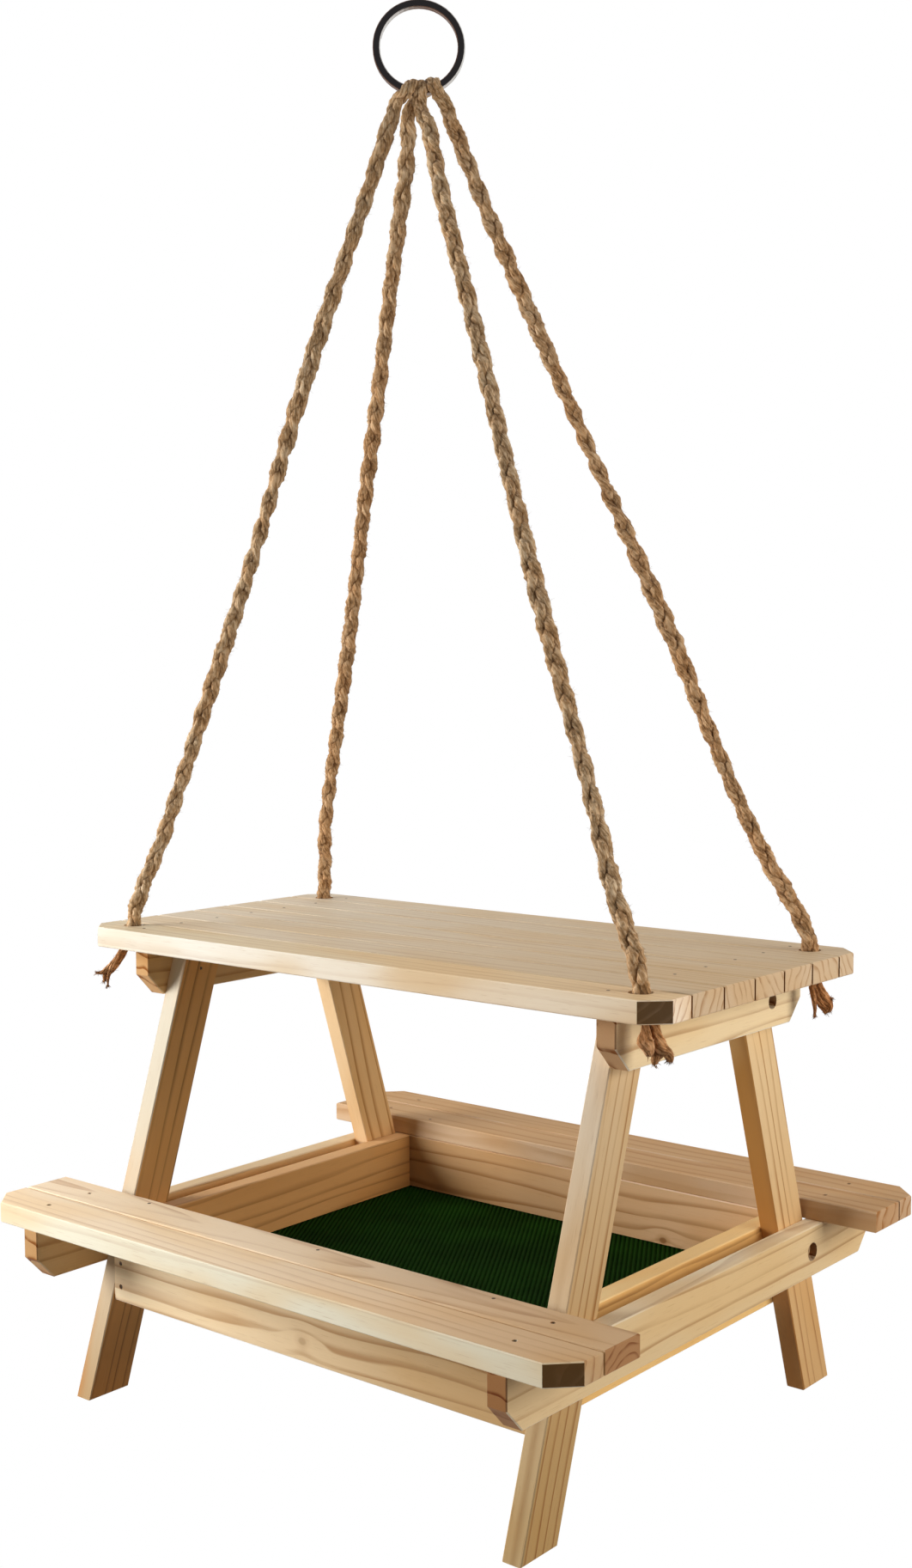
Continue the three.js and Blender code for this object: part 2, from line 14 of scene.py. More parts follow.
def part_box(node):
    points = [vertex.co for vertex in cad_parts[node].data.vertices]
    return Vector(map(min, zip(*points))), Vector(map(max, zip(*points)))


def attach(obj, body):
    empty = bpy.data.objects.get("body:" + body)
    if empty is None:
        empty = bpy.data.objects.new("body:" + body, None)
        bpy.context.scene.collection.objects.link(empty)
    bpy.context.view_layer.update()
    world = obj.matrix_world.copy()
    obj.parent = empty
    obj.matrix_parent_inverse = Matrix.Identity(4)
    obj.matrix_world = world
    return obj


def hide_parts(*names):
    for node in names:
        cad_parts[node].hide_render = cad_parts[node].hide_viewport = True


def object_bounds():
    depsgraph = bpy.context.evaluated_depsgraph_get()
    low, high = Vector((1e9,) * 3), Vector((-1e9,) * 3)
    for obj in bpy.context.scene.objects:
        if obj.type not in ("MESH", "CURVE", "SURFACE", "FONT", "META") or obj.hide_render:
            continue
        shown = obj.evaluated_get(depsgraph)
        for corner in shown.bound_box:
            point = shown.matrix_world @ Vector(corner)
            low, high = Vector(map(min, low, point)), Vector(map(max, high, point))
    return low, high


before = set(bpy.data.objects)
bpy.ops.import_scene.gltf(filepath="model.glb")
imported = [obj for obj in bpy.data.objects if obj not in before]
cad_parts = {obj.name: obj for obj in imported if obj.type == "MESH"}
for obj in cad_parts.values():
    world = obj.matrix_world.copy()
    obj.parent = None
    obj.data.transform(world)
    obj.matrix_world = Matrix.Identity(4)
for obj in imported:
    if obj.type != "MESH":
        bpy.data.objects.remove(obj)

bl_info = {
    "name": "Hanging Bird Table",
    "version": (1, 0, 0),
    "blender": (4, 5, 0),
    "location": "3D View > Sidebar > Bird Table",
    "description": "Dresses a hanging bird table in pine, jute, steel and green netting",
    "category": "Object",
}

cad_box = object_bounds()
MM = 0.001
X, Y, Z = (1, 0, 0), (0, 1, 0), (0, 0, 1)
WHITE = (1, 1, 1)

# The ring's middle in metres, the radius in millimetres that its wire lies on, and the wire's two directions
# where the ropes hang
RING_CENTRE = Vector((0, 0, -0.0147))
WIRE_CENTRE = 16.1
ALONG_WIRE = Vector((0.780430, 0.625243, 0))
ACROSS_WIRE = Vector((0.625243, -0.780430, 0))
UP = Vector(Z)

# Heights in metres: the ropes are pulled tight above the first, and have no loose hairs above the second
FOLD_HEIGHT = -0.034
HAIRS_BELOW = -0.043

# Each rope's way down from the ring to the underside of the top, in millimetres: the heights of its points,
# and where each point lies along X and Y
ROUTE_HEIGHTS = (
    -46.1, -55.0, -70.0, -90.0, -120.0, -150.0, -180.0, -210.0,
    -240.0, -270.0, -300.0, -320.0, -340.7, -347.7, -352.7, -361.2,
)
ROUTES = {
    "front_left": (
        (-6.9, -10.3), (-10.1, -11.4), (-15.4, -13.3), (-22.9, -16.0), (-33.9, -20.1), (-44.3, -23.6),
        (-54.3, -26.8), (-64.4, -30.1), (-74.9, -33.7), (-85.6, -37.5), (-96.4, -41.3), (-103.7, -43.9),
        (-112.6, -47.1), (-114.9, -47.9), (-115.6, -48.1), (-115.6, -48.1)),
    "front_right": (
        (7.8, -3.4), (11.1, -5.0), (16.8, -7.7), (25.0, -10.7), (37.6, -14.9), (49.9, -19.3),
        (62.0, -24.0), (74.3, -28.5), (87.1, -32.6), (100.1, -36.5), (112.8, -40.7), (120.9, -43.8),
        (131.6, -47.0), (134.5, -47.9), (135.2, -48.1), (135.2, -48.1)),
    "back_left": (
        (-9.1, 3.8), (-11.9, 5.8), (-17.2, 8.6), (-24.5, 12.3), (-35.2, 17.9), (-45.9, 23.5),
        (-56.5, 29.2), (-67.1, 34.9), (-77.7, 40.6), (-88.5, 46.1), (-99.5, 51.5), (-106.6, 55.4),
        (-113.2, 61.9), (-115.2, 63.5), (-115.7, 63.9), (-115.7, 63.9)),
    "back_right": (
        (8.3, 12.3), (11.8, 13.6), (17.5, 15.7), (25.6, 19.0), (37.9, 23.9), (50.2, 28.9),
        (62.8, 34.1), (75.5, 39.4), (87.7, 44.3), (99.4, 48.7), (111.5, 53.5), (120.4, 57.4),
        (131.4, 62.3), (134.4, 63.5), (135.2, 63.9), (135.2, 63.9)),
}


def route(corner):
    """A rope's way down to one corner of the top, in metres."""
    return [Vector((x * MM, y * MM, z * MM)) for (x, y), z in zip(ROUTES[corner], ROUTE_HEIGHTS)]


def square_to(vector, direction):
    """The part of a vector that is square to a direction, one long."""
    return (vector - direction * vector.dot(direction)).normalized()


# Sizes and colours that a user may change

def colour_setting(name, about, default):
    """A setting that holds a colour."""
    return FloatVectorProperty(name=name, description=about, subtype="COLOR", default=default, min=0, max=1)


def length_setting(name, about, default, low, high):
    """A setting that holds a length."""
    return FloatProperty(name=name, description=about, unit="LENGTH", default=default, min=low, max=high)


def light_setting(name, about, default, high):
    """A setting that holds an amount of light."""
    return FloatProperty(name=name, description=about, default=default, min=0, max=high)


class BirdTableWood(bpy.types.PropertyGroup):
    """Pine of the boards."""

    face_colour: colour_setting("Face", "Pale wood on the wide faces", (0.80, 0.585, 0.335))
    edge_and_light_colour: colour_setting("Edge", "Paler wood and painted light on the narrow edges", (0.94, 0.795, 0.595))
    line_colour: colour_setting("Growth lines", "Dark wood that grew in late summer", (0.40, 0.185, 0.055))
    end_colour: colour_setting("End grain", "What darkens the sawn ends", (0.88, 0.80, 0.72))
    cut_shade_colour: colour_setting("Shaded cut", "End grain of corner cuts, darkened further with painted shade", (0.092, 0.040, 0.005))
    knot_colour: colour_setting("Knot", "Middle of a knot", (0.27, 0.125, 0.045))
    fibre_depth: length_setting("Fibre depth", "Depth of the planed fibres", 0.00012, 0, 0.001)


class BirdTableRope(bpy.types.PropertyGroup):
    """Plaited jute of the ropes."""

    width: length_setting("Width", "Width of the flat plait", 0.0065, 0.004, 0.0085)
    thickness: length_setting("Thickness", "Thickness of the flat plait", 0.0052, 0.003, 0.0085)
    plait_length: length_setting(
        "Plait length", "Length in which a strand crosses over and back", 0.037, 0.012, 0.08)
    ring_width: length_setting(
        "Width at the ring", "Width of a fold that is pulled tight", 0.0056, 0.003, 0.0085)
    ring_thickness: length_setting(
        "Thickness at the ring", "Thickness of a fold that is pulled tight", 0.0031, 0.002, 0.006)
    hairs: IntProperty(
        name="Hairs", description="Loose hairs on each rope", default=2400, min=0, max=4000)
    hair_length: length_setting("Hair length", "Longest loose hair", 0.0020, 0.0005, 0.008)
    light_colour: colour_setting("Light fibre", "Lightest jute fibre", (0.83, 0.64, 0.42))
    middle_colour: colour_setting("Middle fibre", "Common jute fibre", (0.50, 0.31, 0.155))
    fleck_and_gap_shade_colour: colour_setting("Flecks and gap shade", "Dark flecks, and painted shade in the gaps between the strands", (0.115, 0.048, 0.009))


class BirdTableMetal(bpy.types.PropertyGroup):
    """Steel of the ring, the screws and the nails."""

    ring_flat: colour_setting("Ring flats", "Dark flat sides of the ring's wire", (0.022, 0.020, 0.021))
    ring_side_highlight: colour_setting("Ring edges", "Painted highlights on the edges of the ring's wire", (0.62, 0.60, 0.57))
    screw_colour: colour_setting("Screws", "Dull steel of the screws", (0.20, 0.165, 0.125))
    nail_colour: colour_setting("Nails", "Dark steel of the nails", (0.13, 0.085, 0.055))
    nail_head: length_setting("Nail head", "Radius of a nail's head", 0.0007, 0.0003, 0.002)
    nail_length: length_setting("Nail length", "Length of a nail", 0.015, 0.005, 0.0155)


class BirdTableNet(bpy.types.PropertyGroup):
    """Netting of the tray's floor."""

    rib_spacing: length_setting("Rib spacing", "From one upper rib to the next", 0.0019, 0.001, 0.01)
    rib_width: length_setting("Rib width", "Width of an upper rib", 0.00112, 0.0003, 0.005)
    bar_spacing: length_setting("Bar spacing", "From one lower bar to the next", 0.0013, 0.001, 0.01)
    bar_width: length_setting("Bar width", "Width of a lower bar", 0.00086, 0.0003, 0.005)
    turn: FloatProperty(
        name="Turn", description="Direction of the ribs from the table's length", subtype="ANGLE",
        default=math.radians(122), min=0, max=math.pi)
    colour: colour_setting("Colour", "Green of the net", (0.0085, 0.042, 0.0035))


class BirdTableStage(bpy.types.PropertyGroup):
    """Floor, lamps and background."""

    floor_drop: length_setting("Floor drop", "From the table's feet down to the floor", 0.60, 0.05, 3)
    floor_colour: colour_setting("Floor", "Colour of the floor", (0.82, 0.82, 0.82))
    front_strength: light_setting("Front light", "Light on the front, where 1 is plain", 1.32, 3)
    side_strength: light_setting("Side light", "Light on the right side", 0.62, 3)
    top_strength: light_setting("Top light", "Light from above", 0.40, 3)
    ambient_colour: colour_setting("Ambient colour", "Colour of the even light", (1.0, 0.86, 0.70))
    ambient: light_setting("Ambient", "Even light from all round", 0.07, 1)


GROUPS = {
    "bird_wood": BirdTableWood,
    "bird_rope": BirdTableRope,
    "bird_metal": BirdTableMetal,
    "bird_net": BirdTableNet,
    "bird_stage": BirdTableStage,
}


# Finishes

class Value:
    """One output of a node. Plus, minus, times, divide and power on it add Math nodes."""

    def __init__(self, nodes, socket):
        self.nodes = nodes
        self.socket = socket

    def __add__(self, other):
        return self.nodes.math("ADD", self, other)

    __radd__ = __add__

    def __sub__(self, other):
        return self.nodes.math("SUBTRACT", self, other)

    def __rsub__(self, other):
        return self.nodes.math("SUBTRACT", other, self)

    def __mul__(self, other):
        return self.nodes.math("MULTIPLY", self, other)

    __rmul__ = __mul__

    def __truediv__(self, other):
        return self.nodes.math("DIVIDE", self, other)

    def __rtruediv__(self, other):
        return self.nodes.math("DIVIDE", other, self)

    def __pow__(self, other):
        return self.nodes.math("POWER", self, other)

    def __rpow__(self, other):
        return self.nodes.math("POWER", other, self)

    def __abs__(self):
        return self.nodes.math("ABSOLUTE", self)


class Nodes:
    """A tree of nodes, and the ways to add to it."""

    # How far a seed of 1 moves noise along each axis
    SEED_SHIFT = (3.7, 1.3, 2.1)

    def __init__(self, tree):
        self.tree = tree

    def add(self, kind, settings=None, inputs=None, output=0):
        """Adds one node, with its settings first, and gives back one of its outputs."""
        node = self.tree.nodes.new(kind)
        for setting, value in (settings or {}).items():
            if setting == "stops":
                self.set_stops(node.color_ramp, value)
            else:
                setattr(node, setting, value)
        for socket, value in (inputs or {}).items():
            self.feed(node.inputs[socket], value)
        return Value(self, node.outputs[output])

    def set_stops(self, ramp, stops):
        """Gives a ramp its colours."""
        while len(ramp.elements) < len(stops):
            ramp.elements.new(1.0)
        for element, (place, colour) in zip(ramp.elements, stops):
            element.position = place
            element.color = opaque(colour)

    def feed(self, socket, value):
        """Links a value to a socket, or writes a plain number or colour in it."""
        if isinstance(value, Value):
            self.tree.links.new(value.socket, socket)
        elif socket.type == "RGBA":
            socket.default_value = opaque(value)
        else:
            socket.default_value = value

    def math(self, operation, *terms):
        """One step of arithmetic on plain numbers and values."""
        return self.add("ShaderNodeMath", {"operation": operation}, dict(enumerate(terms)))

    def mix(self, share, first, second, way="MIX"):
        """Colour between two others."""
        return self.add(
            "ShaderNodeMix", {"data_type": "RGBA", "blend_type": way}, {0: share, 6: first, 7: second}, 2)

    def coordinates(self, kind="Object"):
        """The place on the piece, the way that its surface faces, or its UV map."""
        return self.add("ShaderNodeTexCoord", output=kind)

    def mapped(self, vector, kind="POINT", **change):
        """A vector that is moved, turned or scaled."""
        return self.add("ShaderNodeMapping", {"vector_type": kind}, {"Vector": vector, **change})

    def noise(self, place, scale=1.0, detail=2.0):
        """Even cloudy noise from 0 to 1."""
        return self.add("ShaderNodeTexNoise", None, {"Vector": place, "Scale": scale, "Detail": detail})

    def streaks(self, place, scale, seed=0.0, detail=2.0):
        """Noise that is finer along one axis than along another."""
        shift = [seed * way for way in self.SEED_SHIFT]
        return self.noise(self.mapped(place, Scale=scale, Location=shift), detail=detail)

    def step(self, value, start, end):
        """Soft step from 0 at start to 1 at end."""
        return self.add(
            "ShaderNodeMapRange", {"interpolation_type": "SMOOTHSTEP"}, {0: value, 1: start, 2: end})

    def parts(self, vector):
        """The three numbers of a vector."""
        return [self.add("ShaderNodeSeparateXYZ", None, {0: vector}, axis) for axis in range(3)]

    def along(self, vector, direction):
        """How far a vector points in a direction."""
        return self.add(
            "ShaderNodeVectorMath", {"operation": "DOT_PRODUCT"}, {0: vector, 1: direction}, "Value")

    def bump(self, height, depth, strength):
        """A rough surface of that depth in metres."""
        return self.add(
            "ShaderNodeBump", None, {"Height": height, "Distance": depth, "Strength": strength})

    def seen(self):
        """1 for what is seen plainly, in a mirror or through glass, and 0 for what only sends light."""
        plain, mirrored, through = [
            self.add("ShaderNodeLightPath", output=f"Is {way} Ray")
            for way in ("Camera", "Glossy", "Transmission")]
        return self.math("MAXIMUM", self.math("MAXIMUM", plain, mirrored), through)


class Finish(Nodes):
    """A material, its shader and the nodes that feed it."""

    def __init__(self, name, **fixed):
        self.material = bpy.data.materials.new(name)
        self.material.use_nodes = True
        super().__init__(self.material.node_tree)
        self.tree.nodes.clear()
        self.shader = self.tree.nodes.new("ShaderNodeBsdfPrincipled")
        self.output = self.tree.nodes.new("ShaderNodeOutputMaterial")
        self.tree.links.new(self.shader.outputs[0], self.output.inputs["Surface"])
        self.shade(**fixed)

    def shade(self, **inputs):
        """Feeds the shader's own sockets."""
        for socket, value in inputs.items():
            self.feed(self.shader.inputs[socket.replace("_", " ")], value)


def opaque(colour):
    """A colour with no see-through."""
    return (*colour[:3], 1.0)


def tinted(colour, *tints):
    """A colour times others, one part at a time."""
    return [math.prod(parts) for parts in zip(colour, *tints)]


def dimmed(colour, share):
    """A colour with all of its parts made weaker alike."""
    return [value * share for value in colour]


def coat(piece, finish):
    """Gives a piece one finish."""
    piece.data.materials.clear()
    piece.data.materials.append(finish.material)


class Board:
    """How one board was cut from its log. Lengths are in millimetres."""

    def __init__(
            self, along, across, pith, spacing, lines, seed, wander=2.4, taper=0.006, crisp=0.50,
            knots=(), tint=WHITE, ends=WHITE, edges=WHITE, fade=(WHITE, WHITE), late=1.0, even=0.0,
            slot=None, shaded_cut=None):
        # The ways that the grain and the board's width run, and the log's middle from the board's middle
        self.along = Vector(along).normalized()
        self.across = square_to(Vector(across), self.along)
        self.pith = pith

        # The growth lines' distance and strength, the noise's seed, how far the lines wander and lean, how
        # late in the year they start, and each knot's place, size and darkness
        self.spacing = spacing
        self.lines = lines
        self.seed = seed
        self.wander = wander
        self.taper = taper
        self.crisp = crisp
        self.knots = knots

        # Tints of the whole board, of its sawn ends and of its narrow edges, each partly the wood's own tone
        # and partly painted light and shade, and a painted gradient of light and shade from its start to its
        # finish along the grain, with how late the second takes over and how far the edges keep out of it
        self.tint = tint
        self.ends = ends
        self.edges = edges
        self.fade = fade
        self.late = late
        self.even = even

        # The painted shade on faces that look at the next board, and the direction that a corner cut faces
        # whose end grain is darkened further with painted shade
        self.slot = slot
        self.shaded_cut = shaded_cut


# How far a leg leans outwards for its height, the legs' directions, and the one that a sawn corner faces
LEG_SLOPE = 0.3156
FRONT_LEG = (0, LEG_SLOPE, 1)
BACK_LEG = (0, -LEG_SLOPE, 1)
CORNER_CUT = (0.7071, -0.7071, 0)

# Tints that several boards share, each partly the wood's own tone and partly painted light and shade; the
# top's grey tint is partly a painted sheen
WARM = (0.98, 0.93, 0.82)
TOP = {"tint": (0.97, 1.05, 1.18), "ends": (1.24, 1.33, 1.50)}
SLOTTED_TOP = {**TOP, "fade": ((1.02, 1.12, 1.36), (0.84, 0.82, 0.83)), "slot": (0.55, 0.33, 0.16)}
FRONT_BENCH = {
    "tint": (1.16, 1.32, 1.54), "ends": (0.80, 0.66, 0.54), "late": 2.2,
    "fade": ((1.09, 1.10, 1.24), (0.66, 0.55, 0.49))}
BACK_BENCH = {"tint": (0.74, 0.64, 0.57)}

# The log's middle and the growth lines' distance and strength, for the top's slats 2 to 7
SLOTTED_SLATS = (
    ((64, -34), 4.2, 0.38), ((-58, -20), 3.7, 0.34), ((38, 26), 4.6, 0.40),
    ((70, -30), 3.9, 0.34), ((-40, -28), 4.4, 0.38), ((52, 36), 3.6, 0.34))

BOARDS = {
    "top_slat_1": Board(
        X, Y, (-46, 30), 3.4, 0.36, 1, **TOP,
        fade=((1.03, 1.11, 1.22), (1.05, 0.99, 0.92)), shaded_cut=CORNER_CUT),
    **{f"top_slat_{slat}": Board(X, Y, *log, slat, **SLOTTED_TOP)
       for slat, log in enumerate(SLOTTED_SLATS, 2)},
    "top_cleat_left": Board(Y, Z, (60, 10), 6.5, 0.80, 8, tint=WARM, ends=(0.80, 0.68, 0.55)),
    "top_cleat_right": Board(
        Y, Z, (48, 22), 7.5, 0.72, 9, tint=(1.17, 1.29, 1.42), ends=(0.53, 0.38, 0.27), crisp=0.6),
    "bench_support_left": Board(Y, Z, (52, 14), 6.0, 0.85, 10, tint=WARM, ends=(0.70, 0.56, 0.42)),
    "bench_support_right": Board(
        Y, Z, (70, 18), 6.8, 0.72, 11, tint=(1.04, 1.08, 1.09), ends=(0.42, 0.25, 0.14), crisp=0.6),
    # The front left leg's foot is darkened with a painted shadow, and its narrow edges are made paler with
    # painted light
    "leg_front_left": Board(
        FRONT_LEG, Y, (60, 8), 5.2, 0.95, 12.7, wander=1.2, crisp=0.6, tint=(1.16, 0.835, 0.53),
        edges=(0.82, 1.12, 1.75), fade=((0.60, 0.50, 0.36), (0.90, 1.02, 1.15)), late=0.5),
    "leg_front_right": Board(
        FRONT_LEG, Y, (-64, 6), 4.7, 1.0, 13, wander=1.0, crisp=0.6,
        fade=((0.68, 0.59, 0.42), (0.92, 0.94, 1.0))),
    "leg_back_left": Board(
        BACK_LEG, Y, (56, 10), 5.6, 0.95, 14, wander=1.2, crisp=0.6, tint=WARM,
        fade=((1, 0.90, 0.80), (1.04, 0.98, 0.92))),
    # The back right leg's narrow edges are darkened with painted shade
    "leg_back_right": Board(
        BACK_LEG, Y, (-58, 9), 4.9, 1.0, 15, wander=1.2, crisp=0.6, tint=WARM,
        edges=(0.56, 0.33, 0.13), fade=((0.90, 0.80, 0.70), (1.13, 1.22, 1.40))),
    "bench_slat_front_outer": Board(
        X, Y, (-60, 24), 4.6, 0.34, 16, **FRONT_BENCH, edges=(0.86, 0.86, 0.79), even=0.8, shaded_cut=CORNER_CUT),
    "bench_slat_front_inner": Board(
        X, Y, (2, -10), 3.6, 0.50, 17, **FRONT_BENCH, slot=(0.86, 0.76, 0.64), taper=0.045),
    "bench_slat_back_inner": Board(X, Y, (34, -22), 5.4, 0.70, 18, **BACK_BENCH),
    "bench_slat_back_outer": Board(X, Y, (-40, 22), 5.0, 0.60, 19, **BACK_BENCH),
    "tray_wall_front": Board(
        X, Z, (44, 40), 5.2, 0.70, 20, tint=(1.10, 1.17, 1.25),
        fade=((1.20, 1.28, 1.45), (0.74, 0.66, 0.56)), knots=((1.0, -9.0, 1.8, 0.35),)),
    "tray_wall_back": Board(
        X, Z, (46, -24), 6.2, 0.85, 21, tint=(0.96, 0.87, 0.74),
        fade=((0.70, 0.66, 0.68), (1.05, 1.08, 1.30)), knots=((45.0, -5.5, 1.7, 0.9),)),
    "tray_wall_left": Board(Y, Z, (40, 20), 5.6, 0.85, 22, tint=(0.95, 0.70, 0.46)),
    "tray_wall_right": Board(Y, Z, (50, -16), 6.4, 0.80, 23, tint=(1.18, 1.08, 0.78)),
}

# Noise in the pine: its fineness along the grain and across it, per millimetre, and its detail
GRAIN = {
    "wander": (0.011, 0.045, 1.5),
    "uneven": (0.006, 0.10, 1.0),
    "faded": (0.012, 0.22, 1.0),
    "fibre": (0.05, 1.7, 3.0),
    "flecks": (0.11, 4.6, 1.0),
    "cloud": (0.018, 0.05, 1.0),
}
GRAIN_SEED_STEP = 30

# How squarely a face looks along an axis of its board, or along the direction of a corner cut that takes
# painted shade, where each of these looks starts and where it is complete
WIDE_FACE = (0.76, 0.95)
SAWN_END = (0.45, 0.75)
SLOT_FACE = (0.93, 0.99)
SHADED_CUT_FACE = (0.90, 0.97)

# How many years the growth lines are out of place, and the shares of a year at which a line is darkest and
# between which it fades out
UNEVEN_YEARS = 1.6
LINE_DARKEST = 0.95
LINE_FADES = (0.94, 1.0)

# How far round a knot of size 1 the lines bend, by how much, and how little a way along the grain counts
KNOT_REACH = 3.2
KNOT_PULL = 1.9
KNOT_LENGTHWISE = 0.5

CLOUD_TINT = (0.97, 0.88, 0.74)
FIBRE_TINT = (0.80, 0.68, 0.55)


def growth_lines(finish, board, grain, along, across, depth):
    """How dark late wood is at each place, and each knot's distance, size and darkness."""
    # Distance from the log's middle, which wanders along the board and bends round knots
    sideways = across - board.pith[0]
    deep = depth - board.pith[1]
    radius = (sideways * sideways + deep * deep) ** 0.5
    radius = radius + (grain["wander"] - 0.5) * (2 * board.wander) + along * board.taper
    cores = []
    for knot_along, knot_across, size, darkness in board.knots:
        east = along - knot_along
        north = across - knot_across
        spread = east * east * KNOT_LENGTHWISE + north * north
        pull = finish.math("EXPONENT", spread * (-1 / (size * KNOT_REACH) ** 2))
        radius = radius + pull * (size * KNOT_PULL)
        cores.append((spread ** 0.5, size, darkness))

    # Slowly darker, then a sharp edge to the next year's pale wood
    year = finish.math("FRACT", radius / board.spacing + grain["uneven"] * UNEVEN_YEARS)
    late = (finish.step(year, board.crisp, LINE_DARKEST) ** 1.6) * (1 - finish.step(year, *LINE_FADES))
    return late, cores


def pine(node, board):
    """Pine with growth lines about the log's middle, fibres, sawn ends and knots."""
    wood = bpy.context.scene.bird_wood
    low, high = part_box(node)
    finish = Finish(f"pine {node}", Specular_IOR_Level=0.22)
    facing = finish.coordinates("Normal")
    turn = Matrix((board.along, board.across, board.along.cross(board.across))).transposed().to_euler()
    local = finish.mapped(
        finish.coordinates(), "TEXTURE", Location=(low + high) / 2, Rotation=turn, Scale=(MM, MM, MM))
    along, across, depth = finish.parts(local)
    face = finish.parts(finish.mapped(facing, "TEXTURE", Rotation=turn))
    ends = finish.step(abs(face[0]), *SAWN_END)
    wide = finish.step(abs(face[2]), *WIDE_FACE)
    grain = {}
    for number, (name, (fine_along, fine_across, detail)) in enumerate(GRAIN.items()):
        scale = (fine_along, fine_across, fine_across)
        grain[name] = finish.streaks(local, scale, board.seed + number * GRAIN_SEED_STEP, detail)
    late, cores = growth_lines(finish, board, grain, along, across, depth)
    lines = late * finish.step(grain["faded"], 0.15, 0.62) * board.lines
    flecks = finish.step(grain["flecks"], 0.66, 0.76)

    # Clouds, fibres, resin flecks and growth lines, which show most on the sawn ends
    plain = tinted(wood.face_colour, board.tint)
    # Narrow edges and arrises take the paler edge colour, partly the paler wood there and partly painted
    # light; each board's edge tint adds more painted light or shade
    edge = plain if board.slot else tinted(wood.edge_and_light_colour, board.tint, board.edges)
    colour = finish.mix(wide, edge, plain)
    colour = finish.mix(finish.step(grain["cloud"], 0.40, 0.72) * 0.7, colour, tinted(plain, CLOUD_TINT))
    colour = finish.mix((1 - grain["fibre"]) * 0.30, colour, FIBRE_TINT, "MULTIPLY")
    colour = finish.mix(flecks * 0.30, colour, wood.line_colour)
    colour = finish.mix(lines * (0.55 + 0.40 * wide + 1.3 * ends), colour, wood.line_colour)
    # Sawn ends take the end grain's colour times each board's end tint, which is partly painted light and
    # shade
    colour = finish.mix(ends, colour, tinted(wood.end_colour, board.ends), "MULTIPLY")

    # The painted gradient of light and shade from the board's start to its finish, the painted shade in its
    # slots, its knots and the painted shade on its corner cut
    reach = sum(abs(way) * size for way, size in zip(board.along, (high - low) / MM))
    # A painted gradient of light and shade along the grain, from the board's start to its finish
    share = finish.step(along, -reach / 2, reach / 2) ** board.late
    colour = finish.mix(1 - (1 - wide) * board.even, colour, finish.mix(share, *board.fade), "MULTIPLY")
    # Faces that look at the next board, inside the slots, are darkened with painted shade
    if board.slot:
        colour = finish.mix(finish.step(abs(face[1]), *SLOT_FACE), colour, board.slot, "MULTIPLY")
    for distance, size, darkness in cores:
        for inner, outer, strength, tone in (
                (0.9, 2.0, 0.4, wood.line_colour), (0.45, 1, 1, wood.knot_colour)):
            core = 1 - finish.step(distance, size * inner, size * outer)
            colour = finish.mix(core * (strength * darkness), colour, tone)
    # The corner cut that faces between the lamps is darkened with painted shade, on top of its end grain
    if board.shaded_cut:
        cut_shade = finish.step(finish.along(facing, board.shaded_cut), *SHADED_CUT_FACE)
        colour = finish.mix(cut_shade * (0.96 - 0.10 * late), colour, wood.cut_shade_colour)
    height = grain["fibre"] * 0.6 + lines * 0.5 - flecks * 0.4
    finish.shade(
        Base_Color=colour, Roughness=0.52 + 0.16 * grain["fibre"],
        Normal=finish.bump(height, wood.fibre_depth, 0.7))
    return finish


# Depths in metres of the relief on the other finishes
SCRATCH_DEPTH = 0.00003
TURNING_DEPTH = 0.00001
JUTE_DEPTH = 0.0007
NET_DEPTH = 0.00004


def dull_steel(name, colour, roughness):
    """Dull steel with small stains and drawn scratches."""
    finish = Finish(name, Metallic=0.85)
    place = finish.coordinates()
    stains = finish.noise(place, 900.0, 3.0)
    scratches = finish.streaks(place, (2600, 2600, 500))
    finish.shade(
        Base_Color=finish.mix(finish.step(stains, 0.38, 0.66), colour, dimmed(colour, 0.45)),
        Roughness=roughness + 0.2 * scratches, Normal=finish.bump(scratches, SCRATCH_DEPTH, 0.6))
    return finish


def ring_steel():
    """Polished steel: dark flats, painted highlights on the edges that turn to a brownish painted reflection
    inside the ring, and fine turning marks.
    """
    metal = bpy.context.scene.bird_metal
    finish = Finish("ring steel", Metallic=1.0)
    place = finish.coordinates()
    facing = finish.coordinates("Normal")
    flat = finish.step(abs(finish.along(facing, ACROSS_WIRE)), 0.80, 0.95)
    outward = finish.step(finish.along(facing, ALONG_WIRE), -0.2, 0.8)
    marks = finish.noise(place, 2200.0)
    blots = finish.noise(place, 260.0)
    # The edges take painted highlights, turning to a brownish painted reflection on the side that faces into
    # the ring
    sides = finish.mix(outward, tinted(metal.ring_side_highlight, (0.24, 0.13, 0.09)), metal.ring_side_highlight)
    colour = finish.mix(flat, sides, metal.ring_flat)
    finish.shade(
        Base_Color=finish.mix(finish.step(blots, 0.5, 0.75) * 0.35, colour, metal.ring_flat),
        Roughness=0.16 + 0.12 * marks, Normal=finish.bump(marks, TURNING_DEPTH, 0.4))
    return finish


# How far a rope's fibres turn round their strand in a centimetre, and how far behind the ring the ropes have
# their full darker tint
FIBRE_TURN = 2.2
BEHIND_RING = 0.03
BEHIND_TINT = (0.97, 0.88, 0.80)


